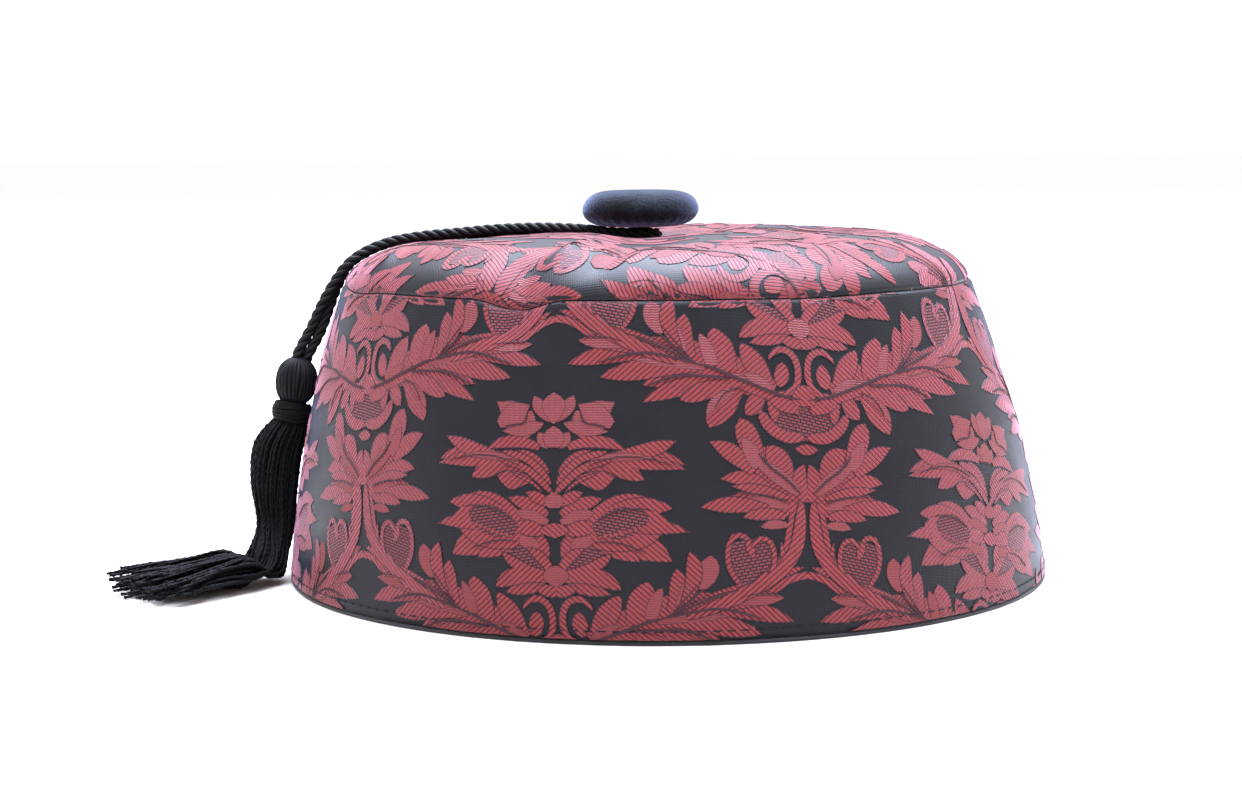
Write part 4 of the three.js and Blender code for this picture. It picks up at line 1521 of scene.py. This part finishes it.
@dataclass
class EdgeBinding:
    """The black binding: a rolled lip under the brocade and a leg inside."""

    form: CapForm
    material: bpy.types.Material
    leg: float = 7.0
    thickness: float = 1.2
    columns: int = 240

    def make(self) -> bpy.types.Object:
        """Builds the binding on the outline of its solid, with rounded corners.

        Returns:
            The piece.
        """
        form = self.form

        def inner(z: float) -> float:
            """Radius of the binding's outer face inside the wall at a height."""
            outside = float(form.band_radius(np.array(z / form.band_height)))
            return outside - form.band_thickness - form.seam_gap

        shown = form.binding_shown
        low = inner(0) - self.thickness
        base = form.base_radius
        profile = [
            (low + 0.35, 0.0),
            (base - 0.4, 0.0),
            (base - 0.12, 0.12),
            (base, 0.4),
            (base - 0.06, shown - 0.22),
            (base - 0.3, shown - 0.02),
            (base - 0.7, shown),
            (inner(shown) + 0.05, shown),
            (inner(shown), shown + 0.1),
            (inner(self.leg), self.leg - 0.3),
            (inner(self.leg) - 0.3, self.leg),
            (inner(self.leg) - self.thickness + 0.3, self.leg),
            (inner(self.leg) - self.thickness, self.leg - 0.3),
            (inner(0.4) - self.thickness, 0.4),
            (low + 0.08, 0.12),
        ]
        turn = np.linspace(0, 2 * math.pi, self.columns + 1)
        length = line_reach(np.array([*profile, profile[0]]))
        rings = []
        charts = []
        for (r, z), along in zip([*profile, profile[0]], length):
            share = z / form.band_height
            x = r * np.cos(turn) + form.lean_x * share
            y = r * np.sin(turn) + form.lean_y * share
            rings.append(np.stack([x, y, np.full_like(turn, z)], 1))
            charts.append(np.stack([turn * base, np.full_like(turn, along)], 1))
        faces = grid_faces(self.columns + 1, len(rings), False)
        patch = Patch(np.vstack(rings), faces, np.vstack(charts))
        piece = patch.build("bound_edge", [self.material])
        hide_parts("edge_binding")
        return piece


@dataclass
class CoveredButton:
    """The velvet-covered button on its thread-wound shank."""

    form: CapForm
    velvet: bpy.types.Material
    thread: bpy.types.Material
    radius: float = 14.6
    thickness: float = 9.1
    offset_x: float = -3.9
    shank_radius: float = 2.7
    shank_height: float = 3.2
    winding_radius: float = 0.28
    core_sides: int = 32
    columns: int = 120
    shank_foot: float = field(init=False)

    def __post_init__(self) -> None:
        """Seats the shank on the crown."""
        self.shank_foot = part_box("button_shank")[0][2] / MM

    def place(self) -> np.ndarray:
        """The button's axis on the plan."""
        return np.array([self.form.lean_x + self.offset_x, self.form.lean_y, 0.0])

    def disc(self) -> Patch:
        """The cushioned disc, a little drawn in by its gathers underneath.

        Returns:
            The closed disc.
        """
        flat_share, widest, steps = 0.3, 0.46, 30
        foot = self.shank_foot + self.shank_height + self.form.seam_gap
        angle = np.linspace(-math.pi / 2, math.pi / 2, steps)
        turn = np.linspace(0, 2 * math.pi, self.columns, endpoint=False)
        rings = []
        for a in angle:
            r = self.radius * (flat_share + (1 - flat_share) * max(math.cos(a), 0.0) ** 0.62)
            part = widest if a < 0 else 1 - widest
            z = foot + self.thickness * (widest + part * math.sin(a))
            gather = 0.12 * np.sin(26 * turn + 0.6) * (1 if a < -0.3 else 0) * (r / self.radius)
            dent = 0.16 * np.sin(3 * turn + 2.0 * a) + 0.1 * np.sin(5 * turn + 1.3)
            out = r + dent * (r / self.radius)
            height = np.full_like(turn, z) + gather
            rings.append(np.stack([out * np.cos(turn), out * np.sin(turn), height], 1))
        places = np.vstack([*rings, [[0, 0, foot]], [[0, 0, foot + self.thickness]]])
        faces = grid_faces(self.columns, steps, True)
        low, high = steps * self.columns, steps * self.columns + 1
        last = (steps - 1) * self.columns
        for i in range(self.columns):
            j = (i + 1) % self.columns
            faces.append((low, j, i))
            faces.append((high, last + i, last + j))
        chart = places[:, :2].copy()
        return Patch(places + self.place(), faces, chart)

    def winding(self) -> Patch:
        """The shank: a core wound with thread.

        Returns:
            The core and its thread.
        """
        turns, per_turn = 6, 28
        s = np.linspace(0, 1, turns * per_turn)
        angle = s * turns * 2 * math.pi
        radius = self.shank_radius * 1.02
        z = self.shank_foot + self.winding_radius + (self.shank_height - 2 * self.winding_radius) * s
        line = np.stack([radius * np.cos(angle), radius * np.sin(angle), z], 1)
        core_r = [(self.shank_radius * 1.1, 0.0), (self.shank_radius, 0.5), (self.shank_radius, 2.7)]
        core_r.append((self.shank_radius * 1.1, self.shank_height))
        turn = np.linspace(0, 2 * math.pi, self.core_sides, endpoint=False)
        rings = [
            np.stack([r * np.cos(turn), r * np.sin(turn), np.full_like(turn, self.shank_foot + z0)], 1)
            for r, z0 in core_r
        ]
        places = np.vstack(rings)
        core = Patch(places, tube_faces(self.core_sides, len(rings)), places[:, :2])
        both = gathered([core, thread(line, self.winding_radius, 6)])
        both.places = both.places + self.place()
        return both

    def make(self) -> list:
        """Builds the button and its shank.

        Returns:
            The two pieces.
        """
        button = self.disc().build("covered_button", [self.velvet])
        shank = self.winding().build("wound_shank", [self.thread])
        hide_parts("button")
        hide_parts("button_shank")
        return [button, shank]


# Cord and tassel


class Run(Enum):
    """The two runs of the doubled cord: the value is the side of the route that each keeps to."""

    FRONT = 1
    BACK = -1


@dataclass
class DoubledCord:
    """A three-ply twisted cord, doubled, from round the shank to the tassel's head."""

    form: CapForm
    button: CoveredButton
    material: bpy.types.Material
    diameter: float = 2.2
    gap: float = 0.3
    twist: float = 7.8
    ply_share: float = 0.32
    orbit_share: float = 0.335
    route: tuple = (
        (-14.5, 0.1, 85.4, 0),
        (-20, 0.4, 86.1, 4),
        (-31, 1.0, 86.4, 12),
        (-42, 1.2, 86.0, 18),
        (-53, 0.6, 85.2, 14),
        (-62, -0.6, 84.6, 6),
        (-69, -2.0, 82.8, 6),
        (-75, -3.2, 80.6, 8),
        (-79.6, -4.3, 77.4, 10),
        (-83.0, -5.2, 72.6, 18),
        (-85.4, -5.9, 67.4, 45),
        (-87.8, -6.5, 61.8, 74),
        (-90.8, -7.2, 56.2, 80),
        (-92.4, -7.5, 52.4, 80),
    )

    def lying_height(self, x: float, y: float) -> float:
        """Height of the cord's middle line where it lies on the crown.

        Args:
            x: the place to the right.
            y: the place towards the back.

        Returns:
            The height.
        """
        radius = self.diameter / 2
        steps = (-radius, 0.0, radius)
        around = [self.form.crown_height_at(x + dx, y + dy) for dx in steps for dy in steps]
        return max(around) + radius + self.gap

    def points(self, run: Run) -> np.ndarray:
        """The places that a run passes through, from the far side of the shank to the tassel.

        Args:
            run: which of the two runs.

        Returns:
            The places.
        """
        side = run.value
        spacing = (self.diameter + self.gap) / 2
        loop = self.button.shank_radius * 1.15 + self.gap + self.diameter / 2
        height = self.button.shank_foot + self.button.shank_height / 2
        start = math.asin(spacing / loop)
        centre = self.button.place()
        found = []
        for turn in (start, start + (math.pi - start) * 0.25, math.pi / 2, math.pi * 0.72):
            x = centre[0] + loop * math.cos(turn)
            found.append((x, centre[1] - side * loop * math.sin(turn), height))
        rows = np.array(self.route, float)
        for i, (x, y, z, turn) in enumerate(rows):
            along = rows[min(i + 1, len(rows) - 1), :3] - rows[max(i - 1, 0), :3]
            along = Vector(along).normalized()
            front = (Vector((0, -1, 0)) + along * along.y).normalized()
            front = Matrix.Rotation(math.radians(turn), 3, along) @ front
            here = Vector((x, y, z)) + front * (side * spacing)
            if math.hypot(here.x - self.form.lean_x, here.y - self.form.lean_y) < self.form.seam_radius:
                here.z = max(here.z, self.lying_height(here.x, here.y))
            found.append(tuple(here))
        return np.array(found)

    def rope(self, line: np.ndarray) -> Patch:
        """Three plies twisted along a line.

        Args:
            line: the middle line.

        Returns:
            The rope.
        """
        a, b = line_frames(line)
        along = line_reach(line)
        ply = self.diameter * self.ply_share
        orbit = self.diameter * self.orbit_share
        made = []
        for strand in range(3):
            turn = 2 * math.pi * (along / self.twist + strand / 3)
            around = a * np.cos(turn)[:, None] + b * np.sin(turn)[:, None]
            made.append(thread(line + around * orbit, ply, 10))
        return gathered(made)

    def make(self, tassel_pieces: list) -> list:
        """Args:
            tassel_pieces: what hangs on them; not used.

        Returns:
            The two cords.
        """
        cords = []
        for run, node in ((Run.FRONT, "cord_front"), (Run.BACK, "cord_back")):
            points = self.points(run)
            fine = smooth_line(points, 300)
            length = line_length(fine)
            piece = self.rope(fine).build(f"twisted_{node}", [self.material])
            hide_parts(node)
            log.info("%s is %.1f mm long", node, length)
            cords.append(piece)
        return cords


@dataclass(frozen=True)
class Station:
    """A section of the fringe: shares of its reach, height and girth, drift in degrees, and fan."""

    reach: float
    height: float
    drift: float
    girth: float
    fan: float


@dataclass
class Tassel:
    """The tassel: a head of looped threads, a wound neck and a twisted fringe that spreads on the table."""

    form: CapForm
    head: bpy.types.Material
    fringe: bpy.types.Material
    head_radius: float = 5.2
    head_height: float = 11.5
    neck_radius: float = 3.7
    neck_height: float = 6.0
    binding_thickness: float = 0.9
    loops: int = 30
    loop_radius: float = 0.62
    winding_radius: float = 0.4
    skirt_top: float = 37.5
    skirt_radius: float = 5.9
    skirt_reach: float = 44.0
    sweep: float = 220.0
    azimuth: float = 185.0
    gap: float = 0.4
    strands: int = 190
    strand_radius: float = 0.42
    strand_twist: float = 3.4
    locks: int = 17
    stations: tuple = (
        Station(0.0, 1.0, 0.0, 0.55, 1.0),
        Station(0.0, 0.86, 0.4, 0.98, 1.0),
        Station(0.0, 0.6, 1.6, 1.0, 1.0),
        Station(0.0, 0.33, 3.4, 0.97, 1.1),
        Station(0.04, 0.12, 6.5, 0.9, 1.6),
        Station(0.22, 0.12, 7.0, 0.8, 2.7),
        Station(0.45, 0.115, 6.0, 0.66, 4.2),
        Station(0.72, 0.1, 6.0, 0.54, 6.9),
        Station(1.0, 0.08, 6.0, 0.42, 10.4),
    )

    def leaning_place(self, height: float, radius: float, drift: float = 0.0) -> np.ndarray:
        """Where a body of a given radius leans on the band at a height.

        Args:
            height: above the table.
            radius: the body's radius.
            drift: degrees along the band from the tassel.

        Returns:
            The place of the body's middle.
        """
        share = min(max(height / self.form.band_height, 0.0), 1.0)
        away = float(self.form.band_radius(np.array(share))) + self.gap + radius
        turn = math.radians(self.azimuth + drift)
        x = away * math.cos(turn) + self.form.lean_x * share
        return np.array([x, away * math.sin(turn) + self.form.lean_y * share, height])

    def axis_frame(self) -> tuple[np.ndarray, Matrix]:
        """The neck's foot, and the turn that stands the head on its leaning axis.

        Returns:
            The foot and the turn.
        """
        top = self.skirt_top + self.neck_height
        head = self.leaning_place(top + self.head_height / 2, self.head_radius)
        neck = self.leaning_place(self.skirt_top, self.neck_radius + self.binding_thickness)
        axis = Vector(head - neck).normalized()
        return neck, Vector((0, 0, 1)).rotation_difference(axis).to_matrix()

    def on_axis(self, patch: Patch) -> Patch:
        """Stands a patch that was made about +Z on the tassel's axis.

        Args:
            patch: the patch, with the foot of the neck at the origin.

        Returns:
            The same patch, moved.
        """
        foot, turn = self.axis_frame()
        patch.places = patch.places @ np.array(turn).T + foot
        return patch

    def head_profile(self, share: np.ndarray) -> tuple[np.ndarray, np.ndarray]:
        """Radius and height of the head's surface, from its top to under the neck.

        Args:
            share: shares of the way down.

        Returns:
            The radii and heights.
        """
        angle = np.pi * (1 - 0.83 * np.clip(share / 0.8, 0, 1))
        ball_r = self.head_radius * np.sin(angle) ** 0.8
        ball_z = self.neck_height + self.head_height / 2 * (1 - np.cos(angle))
        down = np.clip((share - 0.8) / 0.2, 0, 1)
        blend = soft_step(share, 0.76, 0.88)
        r = ball_r * (1 - blend) + self.neck_radius * blend
        z = ball_z * (1 - down) + (self.neck_height * 0.25) * down
        return r, z

    def head_threads(self) -> Patch:
        """Looped threads over the head, drawn in at the neck.

        Returns:
            The threads.
        """
        rng = random.Random(7)
        made = []
        s = np.linspace(0.03, 1.0, 26)
        for i in range(self.loops):
            radius, z = self.head_profile(s)
            r = self.loop_radius + rng.uniform(-0.05, 0.05)
            swirl = 0.35 * s + 0.03 * np.sin(9 * s + rng.uniform(0, 6))
            turn = 2 * math.pi * (i + rng.uniform(-0.15, 0.15)) / self.loops + swirl
            wobble = 0.1 * np.sin(14 * s + rng.uniform(0, 6))
            out = np.maximum(radius - r * 0.85 + wobble, 0.15)
            line = np.stack([out * np.cos(turn), out * np.sin(turn), z - 0.35 * r], 1)
            made.append(thread(line, r * np.minimum(0.55 + s * 3, 1.0), 7))
        return self.on_axis(gathered(made))

    def neck_winding(self) -> Patch:
        """Thread wound round the neck.

        Returns:
            The winding.
        """
        low, high = self.neck_height * 0.16, self.neck_height * 1.1
        r = self.winding_radius
        turns = int((high - low) / (2 * r * 0.8))
        s = np.linspace(0, 1, turns * 26)
        angle = s * turns * 2 * math.pi
        belly = 0.45 * np.sin(math.pi * s) - 0.3 + 0.09 * np.sin(3 * angle + 9 * s)
        belly = belly + 0.06 * np.sin(5.3 * angle)
        out = self.neck_radius + self.form.seam_gap + self.binding_thickness - r + belly
        rise = 0.14 * np.sin(2 * angle + 5 * s) + 0.1 * np.sin(0.37 * angle)
        height = low + r + (high - low - 2 * r) * s + rise
        line = np.stack([out * np.cos(angle), out * np.sin(angle), height], 1)
        return self.on_axis(thread(line, r, 7))

    def middle_line(self) -> list:
        """The fringe's stations: its middle, half width and fan at each, from inside the neck down.

        Returns:
            The stations.
        """
        turn = math.radians(self.sweep)
        forward = np.array([math.cos(turn), math.sin(turn), 0.0])
        foot, axis = self.axis_frame()
        up = np.array(axis @ Vector((0, 0, 1)))
        rows = [(foot + up * self.neck_height * 0.6, self.neck_radius * 0.8, 1.0)]
        rows.append((foot + up * 0.6, self.neck_radius * 1.25, 1.0))
        for row in self.stations[1:]:
            waist = float(bump(np.array(row.height - 0.3), 0.42))
            girth = row.girth * self.skirt_radius * (1.1 - 0.24 * waist)
            height = max(row.height * self.skirt_top, 0.78 * girth)
            place = self.leaning_place(height, max(girth, self.neck_radius), row.drift)
            rows.append((place + row.reach * self.skirt_reach * forward, girth, row.fan))
        return rows

    def strand_line(
        self, at: float, out: float, lock: tuple, length: float, rng: random.Random
    ) -> np.ndarray:
        """The line of one fringe thread.

        Args:
            at: its direction from the bundle's middle, in radians.
            out: its share of the bundle's half width.
            lock: the direction and share of the lock that it falls into.
            length: its share of the whole fringe.
            rng: the source of its small wanderings.

        Returns:
            Places along it.
        """
        turn = math.radians(self.sweep)
        forward = np.array([math.cos(turn), math.sin(turn), 0.0])
        across = np.array([-math.sin(turn), math.cos(turn), 0.0])
        rows = self.middle_line()
        points = []
        wander = rng.uniform(0, 6.28)
        for i, (middle, girth, fan) in enumerate(rows):
            along = rows[min(i + 1, len(rows) - 1)][0] - rows[max(i - 1, 0)][0]
            upward = np.cross(along, across)
            upward /= np.linalg.norm(upward)
            if upward @ forward > 0.5:
                upward = -upward
            down = np.array(float(i))
            gather = 0.55 * soft_step(down, 2.0, 6.5) * (1 - 0.5 * soft_step(down, 7.5, 9.5))
            side = out * math.cos(at) * (1 - gather) + lock[1] * math.cos(lock[0]) * gather
            rise = out * math.sin(at) * (1 - gather) + lock[1] * math.sin(lock[0]) * gather
            loose = min(max(i - 1, 0), 5) * 0.2
            sway = loose * math.sin(wander + 1.9 * i)
            lift = loose * 0.5 * math.cos(wander * 1.7 + 1.3 * i)
            place = middle + across * (girth * fan * side * 0.95 + sway)
            points.append(place + upward * (girth * rise + lift))
        line = smooth_line(points, 100)
        line = line[: int(100 * min(length, 1.0)) + 1]
        line[:, 2] = np.maximum(line[:, 2], self.strand_radius * 1.05 + 0.06)
        return line

    def twisted(self, line: np.ndarray, start: float) -> Patch:
        """A thread of two plies as one tube, whose waisted section turns along it.

        Args:
            line: the places that it follows.
            start: the turn that it starts at, in radians.

        Returns:
            The thread.
        """
        sides = 6
        a, b = line_frames(line)
        along = line_reach(line)
        turn = np.arange(sides) * 2 * math.pi / sides
        spin = 2 * math.pi * along / self.strand_twist + start
        radius = self.strand_radius * (1 + 0.3 * np.cos(2 * turn)[None, :]) / 1.1
        angle = turn[None, :] + spin[:, None]
        ring = a[:, None, :] * np.cos(angle)[..., None] + b[:, None, :] * np.sin(angle)[..., None]
        places = (line[:, None, :] + ring * np.broadcast_to(radius, angle.shape)[..., None]).reshape(-1, 3)
        chart = np.stack(np.broadcast_arrays(along[:, None], angle / (2 * math.pi)), -1).reshape(-1, 2)
        return Patch(places, tube_faces(sides, len(line)), chart)

    def fringe_threads(self) -> Patch:
        """The twisted fringe, fallen into locks, with cut ends of uneven length.

        Returns:
            The fringe.
        """
        rng = random.Random(11)
        golden = math.pi * (3 - math.sqrt(5))
        locks = [(i * golden, 0.86 * math.sqrt((i + 0.5) / self.locks)) for i in range(self.locks)]
        made = []
        for i in range(self.strands):
            out = 0.95 * math.sqrt((i + 0.5) / self.strands)
            at = i * golden + rng.uniform(-0.06, 0.06)
            here = out * np.exp(1j * at)
            lock = min(locks, key=lambda other: abs(here - other[1] * np.exp(1j * other[0])))
            side = abs(math.cos(at)) * out
            length = rng.uniform(0.9, 1.0) - 0.1 * side**2 - 0.1 * rng.random() ** 6
            rough = self.strand_line(at, out, lock, length, rng)
            line = smooth_line(rough[::4], int(line_length(rough) / 1.05))
            made.append(self.twisted(line, rng.uniform(0, 6.28)))
        fringe = gathered(made)
        fringe.places[:, 2] = np.maximum(fringe.places[:, 2], 0.05)
        return fringe

    def make(self) -> list:
        """Builds the head, the neck winding and the fringe.

        Returns:
            The three pieces.
        """
        head = self.head_threads().build("tassel_head", [self.head])
        winding = self.neck_winding().build("tassel_neck", [self.fringe])
        fringe = self.fringe_threads().build("tassel_fringe", [self.fringe])
        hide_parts("tassel")
        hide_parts("tassel")
        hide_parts("tassel_binding")
        return [head, winding, fringe]


# The studio


@dataclass
class Studio:
    """A plain pale table, soft light, and the camera at the photograph's place.

    The eye is in millimetres, the angles are in radians, and the table's sizes are in metres. The table is
    a little darker up to the near reach, so that it throws less light up at the cap, and white from the far
    reach on.
    """

    eye: tuple = (25.27, -594.78, 108.96)
    yaw: float = -0.0615
    pitch: float = 0.1081
    roll: float = -0.0104
    focal_pixels: float = 2363.3
    frame_pixels: int = 1242
    table_half: float = 12.0
    near_reach: float = 0.25
    far_reach: float = 1.6
    near_colours: tuple = ((0.68, 0.64, 0.595), (0.7, 0.66, 0.615))
    far_colour: Colour = (0.955, 0.955, 0.955)
    sky_colour: Colour = (1.0, 0.985, 0.98)
    sky_strength: float = 1.04

    def camera(self) -> None:
        """Sets the camera."""
        data = bpy.data.cameras.new("camera")
        data.sensor_fit = "HORIZONTAL"
        data.sensor_width = 36.0
        data.lens = 36.0 * self.focal_pixels / self.frame_pixels
        data.clip_start = 0.01
        data.clip_end = 50
        camera = placed("camera", data)
        cy, sy = math.cos(self.yaw), math.sin(self.yaw)
        cp, sp = math.cos(self.pitch), math.sin(self.pitch)
        cr, sr = math.cos(self.roll), math.sin(self.roll)
        ahead = Vector((sy * cp, cy * cp, -sp))
        level = Vector((cy, -sy, 0))
        above = level.cross(ahead)
        right = cr * level + sr * above
        up = -sr * level + cr * above
        turn = Matrix((right, up, -ahead)).transposed().to_4x4()
        camera.matrix_world = Matrix.Translation(Vector(self.eye) * MM) @ turn
        bpy.context.scene.camera = camera

    def lamp(self, name: str, place: tuple, size: float, power: float, colour: Colour) -> None:
        """Adds a soft square lamp that faces the cap.

        Args:
            name: the lamp's name.
            place: where it stands, in metres.
            size: its side, in metres.
            power: its power, in watts.
            colour: its light's colour.
        """
        data = bpy.data.lights.new(name, "AREA")
        data.size = size
        data.energy = power
        data.color = colour
        lamp = placed(name, data)
        lamp.location = place
        aim = Vector((0, 0, 0.04)) - Vector(place)
        lamp.rotation_euler = aim.to_track_quat("-Z", "Y").to_euler()

    def table(self) -> None:
        """Adds the pale table."""
        mesh = bpy.data.meshes.new("table")
        w = self.table_half
        mesh.from_pydata([(-w, -w, 0), (w, -w, 0), (w, w, 0), (-w, w, 0)], [], [(0, 1, 2, 3)])
        sheet = NodeSheet("table_white")
        at = sheet.node("ShaderNodeTexCoord").outputs["Object"]
        cloud = sheet.noise(at, 3.0)
        reach = sheet.node("ShaderNodeVectorMath", {0: at}, operation="LENGTH").outputs["Value"]
        away = sheet.span(reach, self.near_reach, self.far_reach)
        near = sheet.blend(cloud, *self.near_colours)
        colour = sheet.blend(away, near, self.far_colour)
        pale = sheet.finish(None, 0, Base_Color=colour, Roughness=0.7, Specular_IOR_Level=0.2)
        mesh.materials.append(pale)
        table = placed("table", mesh)

    def make(self) -> None:
        """Sets up the camera, table and light."""
        self.camera()
        self.table()
        world = bpy.data.worlds.new("studio")
        world.use_nodes = True
        sky = world.node_tree.nodes["Background"]
        sky.inputs[0].default_value = (*self.sky_colour, 1.0)
        sky.inputs[1].default_value = self.sky_strength
        bpy.context.scene.world = world
        bpy.context.scene.view_settings.view_transform = "Standard"
        self.lamp("top", (0.1, 0.34, 1.3), 1.5, 122.0, (0.77, 0.85, 1.06))


def main() -> None:
    """Builds the studio and every piece of the cap."""
    logging.basicConfig(level=logging.INFO, format="%(name)s: %(message)s")
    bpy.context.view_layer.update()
    Studio().make()
    form = CapForm()
    rayon = Rayon("cord_rayon").material()
    materials = {
        "ground": Ground().material(),
        "lining": BlackCloth("lining_black").material(),
        "thread": Rayon("stitch_thread", lay=0.4).material(),
        "figure": [
            RibbedFigure().material(),
            PlainFigure().material(),
            NetFigure().material(),
            VeinFigure().material(),
        ],
    }
    figure = Figure()
    head_thread = Rayon("tassel_head_thread", roughness=0.6, specular=0.12).material()
    fringe_thread = Rayon("fringe_thread", (0.003, 0.003, 0.0035), 0.45, 0.6, 0.08).material()
    tassel_pieces = Tassel(form, head_thread, fringe_thread).make()
    button = CoveredButton(form, Velvet().material(), rayon)
    pieces = [*button.make(), *DoubledCord(form, button, rayon).make(tassel_pieces[:2]), *tassel_pieces]
    pieces += SideBand(form, materials).make(figure)
    pieces += CrownTip(form, materials).make(figure)
    pieces.append(EdgeBinding(form, BlackCloth("binding_black").material()).make())
    for piece in pieces:
        log.info("%s: %d faces", piece.name, len(piece.data.polygons))


if __name__ == "__main__":
    main()
